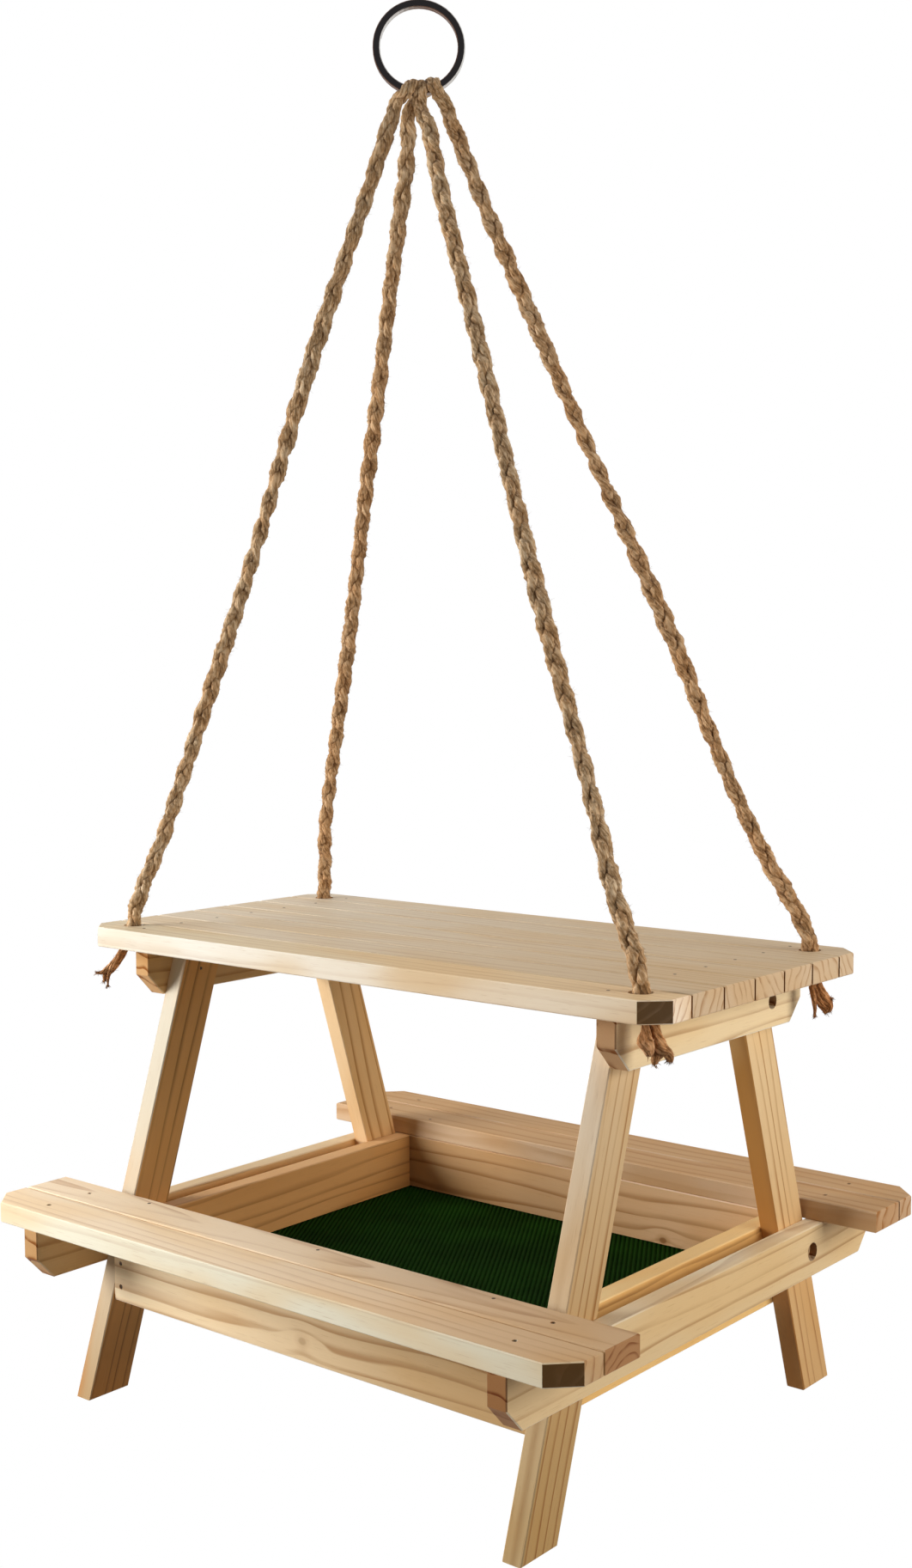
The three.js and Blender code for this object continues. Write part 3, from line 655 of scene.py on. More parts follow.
def jute(name, tint=WHITE):
    """Jute: twisted fibres along each strand, greyed outside, with painted shade in the gaps."""
    rope = bpy.context.scene.bird_rope
    finish = Finish(name, Specular_IOR_Level=0.18, Sheen_Weight=0.15)
    place = finish.coordinates()
    round_strand, down_strand, _ = finish.parts(finish.coordinates("UV"))
    angle = round_strand * (2 * math.pi) + down_strand * FIBRE_TURN
    wrapped = finish.add(
        "ShaderNodeCombineXYZ", None,
        {0: finish.math("COSINE", angle), 1: finish.math("SINE", angle), 2: down_strand})
    fibres = finish.streaks(wrapped, (3.6, 3.6, 2.6), detail=4.0)
    yarns = finish.streaks(wrapped, (1.3, 1.3, 3.4), 5.0)
    fuzz = finish.streaks(place, (1500, 1500, 600), detail=3.0)
    specks = finish.noise(place, 620.0)
    patches = finish.noise(place, 70.0)
    gap = finish.add("ShaderNodeAttribute", {"attribute_name": "open"}, output="Fac")
    light = tinted(rope.light_colour, tint)
    middle = tinted(rope.middle_colour, tint)
    colour = finish.add(
        "ShaderNodeValToRGB", {"stops": [(0.0, dimmed(middle, 0.42)), (0.42, middle), (1.0, light)]},
        {"Fac": finish.step(fibres, 0.34, 0.68) * 0.5 + finish.step(yarns, 0.34, 0.66) * 0.5})
    colour = finish.mix(finish.step(patches, 0.42, 0.70) * 0.45, colour, (0.96, 1.0, 1.10), "MULTIPLY")
    colour = finish.mix(finish.step(patches, 0.58, 0.36) * 0.35, colour, (1.0, 0.80, 0.62), "MULTIPLY")
    colour = finish.mix(finish.step(specks, 0.56, 0.68) * 0.50, colour, rope.fleck_and_gap_shade_colour)
    colour = finish.mix(finish.step(fuzz, 0.52, 0.70) * 0.5, colour, light)
    # Painted shade in the gaps between the strands, darkest where a spot is least open
    colour = finish.mix(((1 - gap) ** 1.8) * 0.85, colour, rope.fleck_and_gap_shade_colour)

    _, depth, _ = finish.parts(place)
    colour = finish.mix(finish.step(depth, 0.0, BEHIND_RING), colour, BEHIND_TINT, "MULTIPLY")
    finish.shade(
        Base_Color=colour, Roughness=0.88,
        Normal=finish.bump(fibres * 0.7 + yarns * 0.5, JUTE_DEPTH, 0.9))
    return finish


def green_net():
    """Dull green plastic strands with faint drawing marks."""
    net = bpy.context.scene.bird_net
    finish = Finish("green net", Specular_IOR_Level=0.04)
    place = finish.coordinates()
    clouds = finish.noise(place, 40.0)
    grain = finish.noise(place, 1500.0)
    colour = finish.mix(finish.step(clouds, 0.3, 0.7), dimmed(net.colour, 0.6), net.colour)
    lighter = tinted(net.colour, (1.5, 1.35, 1.5))
    finish.shade(
        Base_Color=finish.mix(finish.step(grain, 0.5, 0.8) * 0.6, colour, lighter),
        Roughness=0.72 + 0.2 * grain, Normal=finish.bump(grain, NET_DEPTH, 0.6))
    return finish


# Meshes that follow a line

def smooth_line(points, gap):
    """Points every gap or less along one smooth line through the given ones."""
    points = [Vector(point) for point in points]
    slopes = []
    for index, point in enumerate(points):
        before = points[max(index - 1, 0)]
        after = points[min(index + 1, len(points) - 1)]
        back, ahead = (point - before).length, (after - point).length
        if back == 0 or ahead == 0:
            slopes.append((after - before).normalized())
        else:
            slopes.append(((point - before) / back * ahead + (after - point) / ahead * back) / (back + ahead))
    line = [points[0]]
    for index in range(len(points) - 1):
        start, end = points[index], points[index + 1]
        reach = (end - start).length / 3
        count = max(2, math.ceil((end - start).length / gap) + 1)
        handles = (start, start + slopes[index] * reach, end - slopes[index + 1] * reach, end)
        line += interpolate_bezier(*handles, count)[1:]
    return line


def directions(line):
    """The line's direction at each of its points."""
    last = len(line) - 1
    return [(line[min(i + 1, last)] - line[max(i - 1, 0)]).normalized() for i in range(last + 1)]


def turns_round(sides):
    """Angles of that many corners, evenly round a circle."""
    return [2 * math.pi * side / sides for side in range(sides)]


# Centimetres in a metre, for the UV map along a strand
CENTIMETRES = 100

# A hair's corners, and the shares of its length and its radius at each ring from its root to its tip
HAIR_SIDES = 3
HAIR_SHAPE = ((0, 1.0), (0.4, 0.8), (0.75, 0.55), (1, 0.2))


class Tubes:
    """A mesh that is built up from closed tubes, with a UV map along them and an openness."""

    def __init__(self):
        self.mesh = bmesh.new()
        self.uv = self.mesh.loops.layers.uv.new("strand")
        self.open = self.mesh.verts.layers.float.new("open")

    def tube(self, rings, lengths, openness=None):
        """Joins rings of points into one closed tube. Lengths are in centimetres."""
        sides = len(rings[0])
        made = []
        for index, ring in enumerate(rings):
            made.append([self.mesh.verts.new(point) for point in ring])
            for side, vert in enumerate(made[-1]):
                vert[self.open] = openness[index][side] if openness else 1.0
        for row in range(len(made) - 1):
            for side in range(sides):
                after = (side + 1) % sides
                corners = (made[row][side], made[row][after], made[row + 1][after], made[row + 1][side])
                face = self.mesh.faces.new(corners)
                spots = ((side, row), (side + 1, row), (side + 1, row + 1), (side, row + 1))
                for loop, (across, down) in zip(face.loops, spots):
                    loop[self.uv].uv = (across / sides, lengths[down])
        for ring, down in ((made[0][::-1], lengths[0]), (made[-1], lengths[-1])):
            face = self.mesh.faces.new(ring)
            for loop in face.loops:
                loop[self.uv].uv = (0.5, down)

    def hair(self, start, way, length, radius, bend):
        """One tapered hair."""
        first = square_to(way.orthogonal(), way)
        second = way.cross(first)
        rings = []
        for share, size in HAIR_SHAPE:
            middle = start + way * (length * share) + bend * (share * share)
            arms = [first * math.cos(turn) + second * math.sin(turn) for turn in turns_round(HAIR_SIDES)]
            rings.append([middle + arm * (radius * size) for arm in arms])
        self.tube(rings, [length * CENTIMETRES * share for share, _ in HAIR_SHAPE])

    def finish(self, name, finish):
        """The finished object."""
        bmesh.ops.recalc_face_normals(self.mesh, faces=self.mesh.faces)
        data = bpy.data.meshes.new(name)
        self.mesh.to_mesh(data)
        self.mesh.free()
        data.shade_smooth()
        piece = bpy.data.objects.new(name, data)
        bpy.context.scene.collection.objects.link(piece)
        data.materials.append(finish.material)
        return piece


def oval_ring(middle, first, second, wide, deep, sides):
    """Points of an oval ring."""
    return [middle + first * (wide * math.cos(turn)) + second * (deep * math.sin(turn))
            for turn in turns_round(sides)]


def fold_points(turns):
    """Points round the ring's wire. Each turn is an angle in degrees, a radius and a place along the wire."""
    points = []
    for angle, radius, place in turns:
        turn = math.radians(angle)
        swing = math.asin(place / WIRE_CENTRE)
        outward = ALONG_WIRE * math.sin(swing) - UP * math.cos(swing)
        wire = RING_CENTRE + outward * (WIRE_CENTRE * MM)
        points.append(wire + (ACROSS_WIRE * math.cos(turn) - outward * math.sin(turn)) * (radius * MM))
    return points


# The inner rope goes once over the wire. The outer one goes over it on both sides of that fold, and between
# them round the inner rope's back, which holds it on the ring
FOLDS = {
    "inner": [(-50, 4.4, 0.2), (-20, 3.9, 0.7), (0, 3.6, 1.2), (30, 3.2, 1.8), (60, 2.9, 2.2),
              (90, 2.75, 2.4), (130, 3.0, 2.0), (170, 3.7, 0.7), (200, 4.8, -1.1), (225, 6.2, -2.6)],
    "outer": [(-60, 4.8, -5.6), (-30, 4.5, -4.6), (0, 4.2, -3.9), (30, 3.6, -3.3), (60, 3.0, -2.9),
              (90, 2.75, -2.7), (120, 3.0, -2.9), (150, 3.5, -3.2), (165, 4.9, -3.1), (170, 6.6, -2.3),
              (172, 7.7, -0.5), (172, 7.9, 1.6), (170, 6.9, 3.4), (165, 5.2, 4.7), (150, 3.6, 5.6),
              (120, 2.9, 5.8), (90, 2.5, 5.8), (60, 2.9, 5.8), (30, 3.8, 5.8), (0, 4.9, 5.9),
              (-30, 5.2, 6.1), (-60, 5.5, 6.5)],
}

# Each rope's holes, in front and behind, and the loops that it goes round the wire with
ROPES = {
    "inner": ("front_right", "back_left", ("rope_loop_middle",)),
    "outer": ("front_left", "back_right", ("rope_loop_left", "rope_loop_right")),
}


# A plait: the gap between its line's points, its strands and their corners, the length over which it loosens
# below the ring, and a strand's half width and half thickness as shares of the plait's width and thickness
LINE_GAP = 0.00062
STRANDS = 3
STRAND_SIDES = 10
LOOSEN_OVER = 0.016
STRAND_WIDE, STRAND_DEEP = 0.29, 0.30

# How much of the wire's slope a fold follows, how much a rope runs along the wire where its flat starts to be
# carried along from the point before, and over how much more the flat comes to be carried whole
SLOPE_SHARE = 0.6
CARRIED_FROM, CARRIED_OVER = 0.5, 0.3

# In a strand's half sizes: the distance from the next strand's middle at which a spot starts to be open, over
# how much more it is open whole, and the plait's width and thickness
OPEN_FROM, OPEN_OVER = 0.95, 0.55
PLAIT_WIDE, PLAIT_DEEP = 3.45, 3.33

# What keeps a plait from being even: shares of its size and turn, the length of one wave over two pi, and how
# much later the wave is on the next strand
SWELL = 0.028
PLUMP, PLUMP_RUN, PLUMP_SHIFT = 0.05, 0.0043, 2.1
UNEVEN_PLAIT, UNEVEN_PLAIT_RUN = 0.25, 0.031
ROUGHNESS, ROUGHNESS_SCALE = 0.30, 620


def lay_strands(line, ways, lengths, seed):
    """Each point of a plait, with the plait's two directions, its strands' middles and their half sizes."""
    rope = bpy.context.scene.bird_rope
    fold = [length for point, length in zip(line, lengths) if point.z > FOLD_HEIGHT]
    wild = random.Random(seed)
    waves = [(wild.uniform(0.25, 0.5), wild.uniform(0, 6.3), wild.uniform(0.03, 0.075)) for _ in range(3)]
    swell = [(wild.uniform(0, 6.3), wild.uniform(0.010, 0.030)) for _ in range(4)]
    laid = []
    carried = None
    for point, way, length in zip(line, ways, lengths):
        # Tight over the ring, and looser, wider and slowly twisting below it
        past = max(fold[0] - length, length - fold[-1], 0.0)
        loose = min(1.0, past / LOOSEN_OVER)
        loose = loose * loose * (3 - 2 * loose)
        twist = loose * sum(size * math.sin(past / run + start) - size * math.sin(start) * (1 - loose)
                            for size, start, run in waves)
        size = 1 + loose * sum(SWELL * math.sin(length / run + start) for start, run in swell)
        wide = rope.ring_width + (rope.width * size - rope.ring_width) * loose
        deep = rope.ring_thickness + (rope.thickness * size - rope.ring_thickness) * loose

        # Flat against the wire, and as at the point before where the rope runs along the wire
        lean = (point - RING_CENTRE).dot(ALONG_WIRE) / max(RING_CENTRE.z - point.z, WIRE_CENTRE * MM / 2)
        flat = square_to(ALONG_WIRE + UP * (SLOPE_SHARE * lean * (1 - loose)), way)
        if carried is not None:
            flat = flat if flat.dot(carried) > 0 else -flat
            held = min(1.0, max(0.0, (abs(way.dot(ALONG_WIRE)) - CARRIED_FROM) / CARRIED_OVER))
            flat = square_to(flat * (1 - held) + carried * held, way)
        carried = flat
        proud = way.cross(flat)
        flat, proud = (flat * math.cos(twist) + proud * math.sin(twist),
                       proud * math.cos(twist) - flat * math.sin(twist))

        # Each strand crosses over and back twice as often as it goes from side to side
        strand_wide, strand_deep = wide * STRAND_WIDE, deep * STRAND_DEEP
        reach, rise = wide / 2 - strand_wide, deep / 2 - strand_deep
        phase = 2 * math.pi * length / rope.plait_length
        phase += UNEVEN_PLAIT * math.sin(length / UNEVEN_PLAIT_RUN + seed)
        turns = [phase + strand * 2 * math.pi / STRANDS for strand in range(STRANDS)]
        centres = [(reach * math.sin(turn), rise * math.sin(2 * turn)) for turn in turns]
        laid.append((point, flat, proud, centres, strand_wide, strand_deep))
    return laid


def how_open(spot, strand, place):
    """How open a spot on a strand lies, from 0 in a gap to 1 outside."""
    point, flat, proud, centres, wide, deep = place
    offset = spot - point
    x, z = offset.dot(flat), offset.dot(proud)
    nearest = min(
        math.hypot((x - centres[other][0]) / wide, (z - centres[other][1]) / deep)
        for other in range(STRANDS) if other != strand)
    outside = math.hypot(x / (PLAIT_WIDE * wide / 2), z / (PLAIT_DEEP * deep / 2))
    return min(1, max(0, (nearest - OPEN_FROM) / OPEN_OVER)) * min(1, max(0, outside / 0.75 - 0.1))


def plait(name, which, seed):
    """One rope: three strands plaited flat, from a front hole over the ring to a hole behind."""
    front, back, _ = ROPES[which]
    line = smooth_line(route(front)[::-1] + fold_points(FOLDS[which]) + route(back), LINE_GAP)
    gaps = [(after - before).length for before, after in zip(line, line[1:])]
    lengths = list(accumulate(gaps, initial=0.0))
    laid = lay_strands(line, directions(line), lengths, seed)
    tubes = Tubes()
    skin = []
    for strand in range(STRANDS):
        middles = [point + flat * centres[strand][0] + proud * centres[strand][1]
                   for point, flat, proud, centres, _, _ in laid]
        rows = []
        open_rows = []
        for middle, way, length, place in zip(middles, directions(middles), lengths, laid):
            _, flat, _, _, wide, deep = place
            first = square_to(flat, way)
            plump = 1 + PLUMP * math.sin(length / PLUMP_RUN + strand * PLUMP_SHIFT + seed)
            smooth = oval_ring(middle, first, way.cross(first), wide * plump, deep * plump, STRAND_SIDES)
            bumps = [noise.noise(spot * ROUGHNESS_SCALE + Vector((seed, strand, 0))) for spot in smooth]
            ring = [spot + (spot - middle) * (ROUGHNESS * bump) for spot, bump in zip(smooth, bumps)]
            open_row = [how_open(spot, strand, place) for spot in ring]
            rows.append(ring)
            open_rows.append(open_row)
            outermost = ring[open_row.index(max(open_row))]
            skin.append((outermost, (outermost - middle).normalized(), way))
        tubes.tube(rows, [length * CENTIMETRES for length in lengths], open_rows)
    piece = tubes.finish(name, jute(f"{name} jute"))
    return piece, line, lengths[-1], skin


# Radii of loose hairs, and of the fibres and strays of a frayed end
HAIR_RADIUS = 0.00005
FIBRE_RADIUS = 0.00014
STRAY_RADIUS = 0.00007
HAIR_TINT = (1.3, 1.35, 1.4)
FRAYED_TINT = (1.05, 0.78, 0.60)


def random_way(wild):
    """A vector that points anywhere."""
    return Vector([wild.uniform(-1, 1) for _ in range(3)])


def loose_hairs(name, skin, seed):
    """Loose hairs that stand off a rope, clear of the ring's wire."""
    rope = bpy.context.scene.bird_rope
    wild = random.Random(seed)
    tubes = Tubes()
    free = [spot for spot in skin if spot[0].z < HAIRS_BELOW]
    for _ in range(rope.hairs):
        start, out, way = wild.choice(free)
        lean = random_way(wild)
        heading = (out * wild.uniform(0.35, 0.9) + way * wild.choice((-1, 1)) + lean * 0.45).normalized()
        length = rope.hair_length * (0.25 + 0.75 * wild.random() ** 2)
        bend = square_to(lean, heading) * (length * 0.35)
        tubes.hair(start - out * (2 * HAIR_RADIUS), heading, length, HAIR_RADIUS, bend)
    return tubes.finish(name, jute(f"{name} jute", HAIR_TINT))


# Tails of each frayed end: points from the hole's underside, in millimetres along X, Y and Z, and a radius
FRAYED = {
    "front_left": [
        [(-1.3, -1.1, 2.5, 1.3), (-3.4, -3.5, -2.6, 1.3), (-5.0, -5.1, -6.2, 1.4), (-7.4, -7.1, -9.3, 1.4),
         (-9.5, -9.0, -11.5, 1.2), (-11.4, -10.8, -11.7, 0.4)],
        [(-1.1, -1.0, 2.5, 1.2), (-3.5, -2.3, -2.9, 1.2), (-5.4, -4.2, -7.0, 1.3), (-7.4, -6.3, -10.5, 1.4),
         (-9.0, -8.1, -12.9, 1.3), (-8.8, -8.5, -15.2, 0.6)],
        [(-1.4, -1.2, 2.5, 1.1), (-4.0, -3.6, -3.1, 1.1), (-5.1, -6.0, -7.3, 1.2), (-6.6, -7.6, -11.1, 1.1),
         (-7.3, -8.0, -14.0, 0.6), (-7.2, -8.3, -17.3, 0.3)],
    ],
    "front_right": [
        [(0.5, 0.3, 2.5, 1.1), (2.1, -0.2, -2.8, 1.1), (2.5, -0.6, -5.2, 1.2), (2.5, -1.0, -7.1, 1.7),
         (3.2, -0.7, -9.3, 2.7), (3.6, -0.5, -11.2, 2.1), (3.6, -0.3, -12.3, 1.1)],
        [(1.2, 0.9, 2.5, 1.7), (3.3, 2.8, -2.7, 1.8), (3.8, 2.8, -5.4, 1.9), (4.9, 2.9, -8.3, 2.0),
         (6.4, 3.5, -10.8, 2.3), (7.7, 4.6, -12.1, 2.1), (8.2, 5.0, -13.8, 1.6), (8.2, 4.8, -14.8, 1.0)],
        [(1.0, 0.7, 2.5, 1.5), (1.8, 3.2, -2.8, 1.6), (2.3, 3.2, -5.8, 1.7), (3.5, 3.5, -8.8, 1.8),
         (4.9, 3.6, -11.4, 2.0), (4.5, 2.3, -13.2, 2.0), (4.4, 1.8, -14.8, 1.6), (4.5, 1.8, -15.5, 0.9)],
    ],
    "back_left": [
        [(-1.2, 0.5, 2.5, 2.0), (-1.6, 0.8, -3.0, 2.0), (-2.8, 1.6, -8.0, 2.0), (-4.4, 2.0, -12.4, 1.2)],
        [(1.2, 0.6, 2.5, 2.0), (1.6, 1.0, -3.0, 2.1), (2.0, 2.2, -8.0, 2.1), (2.6, 3.6, -13.4, 1.1)],
        [(0.0, -1.4, 2.5, 1.9), (0.0, -1.8, -3.0, 2.0), (-0.6, -1.8, -9.0, 2.0), (-0.2, -2.0, -15.0, 1.0)],
    ],
    "back_right": [
        [(0.4, 0.1, 2.5, 1.3), (1.3, 0.1, -5.9, 1.3), (1.8, -0.1, -8.9, 1.4), (2.2, -0.1, -11.9, 1.1),
         (2.5, -0.1, -14.5, 0.7), (2.4, -0.4, -17.1, 0.4)],
        [(0.7, 0.4, 2.5, 1.4), (1.8, 1.4, -5.5, 1.4), (2.8, 1.7, -9.0, 1.6), (4.1, 2.1, -12.4, 1.7),
         (5.2, 2.7, -14.3, 1.6), (5.6, 2.9, -15.5, 0.9)],
        [(1.1, 0.7, 2.5, 1.1), (3.2, 1.8, -5.5, 1.1), (4.3, 2.2, -8.5, 1.3), (5.9, 3.3, -11.5, 1.8),
         (6.5, 3.6, -13.5, 1.7), (6.0, 3.1, -15.0, 0.9)],
        [(1.4, 0.8, 2.5, 0.7), (4.3, 1.8, -8.9, 0.7), (5.8, 2.7, -9.7, 0.6), (7.5, 4.0, -10.1, 0.4)],
    ],
}


# A frayed tail: the gap between its line's points, its corners and grooves, their depth, how uneven it is,
# and the length over two pi in which a groove goes round to the next one's place
TAIL_GAP = 0.0005
TAIL_SIDES = 20
TAIL_GROOVES = 5
GROOVE_DEPTH = 0.12
TAIL_UNEVEN = 0.04
GROOVE_RUN = 0.003

# Fibres at a tail's tip and strays along it: how many, how long, how deep in the tip they start, their bend
FIBRES_PER_TIP = 26
STRAYS_PER_TAIL = 22
FIBRE_LENGTHS = (0.0006, 0.0016)
STRAY_LENGTHS = (0.0006, 0.0015)
TIP_DEPTH = 0.0015
FIBRE_BEND = 0.0003


def frayed_tail(tubes, hole, tail, wild):
    """One strand of a frayed end: a grooved tail, fibres at its tip and strays along it."""
    line = smooth_line([hole + Vector(spot[:3]) * MM for spot in tail], TAIL_GAP)
    ways = directions(line)
    rows, open_rows, lengths = [], [], []
    length = 0.0
    first = square_to(Vector((0.3, 0.9, 0.2)), ways[0])
    for index, (point, way) in enumerate(zip(line, ways)):
        share = index / (len(line) - 1) * (len(tail) - 1)
        low = min(int(share), len(tail) - 2)
        radius = (tail[low][3] + (tail[low + 1][3] - tail[low][3]) * (share - low)) * MM
        first = square_to(first, way)
        second = way.cross(first)
        if index:
            length += (point - line[index - 1]).length
        lengths.append(length * CENTIMETRES)
        ring = []
        open_row = []
        for turn in turns_round(TAIL_SIDES):
            wave = math.sin(TAIL_GROOVES * turn + length / GROOVE_RUN)
            groove = 1 + GROOVE_DEPTH * wave + wild.uniform(-TAIL_UNEVEN, TAIL_UNEVEN)
            ring.append(point + (first * math.cos(turn) + second * math.sin(turn)) * (radius * groove))
            # The grooves are marked less open, so the jute darkens them with painted shade
            open_row.append(0.62 + 0.38 * wave)
        rows.append(ring)
        open_rows.append(open_row)
    tubes.tube(rows, lengths, open_rows)
    for _ in range(FIBRES_PER_TIP):
        lean = random_way(wild)
        heading = (ways[-1] + lean * 0.55).normalized()
        start = line[-1] - ways[-1] * wild.uniform(0.0, TIP_DEPTH) + lean * (tail[-1][3] * 0.8 * MM)
        length = wild.uniform(*FIBRE_LENGTHS)
        tubes.hair(start, heading, length, FIBRE_RADIUS, square_to(lean, heading) * FIBRE_BEND)
    for _ in range(STRAYS_PER_TAIL):
        spot = wild.randrange(len(line) // 4, len(line))
        out = square_to(random_way(wild), ways[spot])
        start = rows[spot][wild.randrange(TAIL_SIDES)]
        heading = (out * 0.6 + ways[spot] * wild.choice((-0.6, 1))).normalized()
        tubes.hair(start, heading, wild.uniform(*STRAY_LENGTHS), STRAY_RADIUS, out * FIBRE_BEND)


def frayed_end(corner, seed):
    """A rope's end under the top: its strands part and fray into loose fibres."""
    hole = route(corner)[-1]
    wild = random.Random(seed)
    tubes = Tubes()
    for tail in FRAYED[corner]:
        frayed_tail(tubes, hole, tail, wild)
    name = f"frayed_end_{corner}"
    piece = tubes.finish(name, jute(f"{name} jute", FRAYED_TINT))
    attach(piece, "table")
    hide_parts(f"rope_end_{corner}")
    return piece


# Modelling by hand

def deselect():
    """Selects nothing."""
    bpy.ops.object.select_all(action="DESELECT")


def pick(piece):
    """Selects one piece alone, and makes it the one that is worked on."""
    deselect()
    piece.select_set(True)
    bpy.context.view_layer.objects.active = piece


def settle(piece):
    """Puts a finished piece's place, turn and scale in its mesh."""
    pick(piece)
    bpy.ops.object.transform_apply(location=True, rotation=True, scale=True)


def select_faces(piece, test):
    """Selects in edit mode the faces that pass a test."""
    bpy.ops.object.mode_set(mode="EDIT")
    bpy.ops.mesh.select_mode(type="FACE")
    bpy.ops.mesh.select_all(action="DESELECT")
    cage = bmesh.from_edit_mesh(piece.data)
    cage.faces.ensure_lookup_table()
    for face in cage.faces:
        face.select_set(test(face))
    bmesh.update_edit_mesh(piece.data)


# Lengths of a nail's head and point, and its shank's radius as a share of its head's, and its tip's of that
NAIL_HEAD_DEPTH = 0.0004
NAIL_POINT = 0.0012
SHANK_SHARE = 0.7
TIP_SHARE = 0.15


def model_nail(name):
    """A small nail with a domed head, standing head up with the head's rim at the origin."""
    metal = bpy.context.scene.bird_metal
    head = metal.nail_head
    shank_length = metal.nail_length - NAIL_HEAD_DEPTH - NAIL_POINT
    deselect()
    bpy.ops.mesh.primitive_cylinder_add(
        vertices=16, radius=head, depth=NAIL_HEAD_DEPTH, location=(0, 0, -NAIL_HEAD_DEPTH / 2))
    nail = bpy.context.object
    nail.name = name
    settle(nail)
    select_faces(nail, lambda face: face.normal.z > 0.9)
    for inset, rise in ((0.25, 0.09), (0.3, 0.05)):
        bpy.ops.mesh.inset(thickness=head * inset)
        bpy.ops.transform.translate(value=(0, 0, head * rise))
    bpy.ops.object.mode_set(mode="OBJECT")
    select_faces(nail, lambda face: face.normal.z < -0.9)
    bpy.ops.mesh.inset(thickness=head - head * SHANK_SHARE)
    for length in (shank_length, NAIL_POINT):
        bpy.ops.mesh.extrude_region_move(TRANSFORM_OT_translate={"value": (0, 0, -length)})
    bpy.ops.transform.resize(value=(TIP_SHARE, TIP_SHARE, 1))
    bpy.ops.object.mode_set(mode="OBJECT")
    pick(nail)
    bpy.ops.object.shade_smooth_by_angle(angle=math.radians(35))
    return nail


def copy_nail(nail, name, place, finish):
    """One more nail at its place, with its own mesh."""
    piece = nail.copy()
    piece.data = nail.data.copy()
    piece.name = piece.data.name = name
    bpy.context.scene.collection.objects.link(piece)
    piece.location = place
    settle(piece)
    coat(piece, finish)
    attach(piece, "table")


# The net before it is trimmed, and each layer's share of the floor's thickness: the two are pressed together
NET_LENGTH = 0.27
NET_LAYER = 0.52


def model_rows(name, width, depth, spacing, middle, turn):
    """A row of flat strands side by side, turned in the net's own plane."""
    count = int(NET_LENGTH / spacing)
    deselect()
    bpy.ops.mesh.primitive_cylinder_add(
        vertices=8, radius=0.5, depth=NET_LENGTH, rotation=(0, math.pi / 2, 0),
        location=(0, -(count - 1) * spacing / 2, 0))
    strand = bpy.context.object
    strand.name = name
    strand.scale = (depth, width, 1)
    settle(strand)
    row = strand.modifiers.new("row", "ARRAY")
    row.count = count
    row.use_relative_offset = False
    row.use_constant_offset = True
    row.constant_offset_displace = (0, spacing, 0)
    bpy.ops.object.modifier_apply(modifier=row.name)
    strand.rotation_euler = (0, 0, turn)
    strand.location = middle
    settle(strand)
    return strand


def trim_to(piece, low, high):
    """Cuts a piece off at the sides of a box, and closes the cuts."""
    pick(piece)
    bpy.ops.object.mode_set(mode="EDIT")
    for place, normal in (((low.x, 0, 0), (-1, 0, 0)), ((high.x, 0, 0), (1, 0, 0)),
                          ((0, low.y, 0), (0, -1, 0)), ((0, high.y, 0), (0, 1, 0))):
        bpy.ops.mesh.select_all(action="SELECT")
        bpy.ops.mesh.bisect(plane_co=place, plane_no=normal, use_fill=True, clear_outer=True)
    bpy.ops.mesh.select_all(action="SELECT")
    bpy.ops.mesh.normals_make_consistent(inside=False)
    bpy.ops.object.mode_set(mode="OBJECT")


# Operators

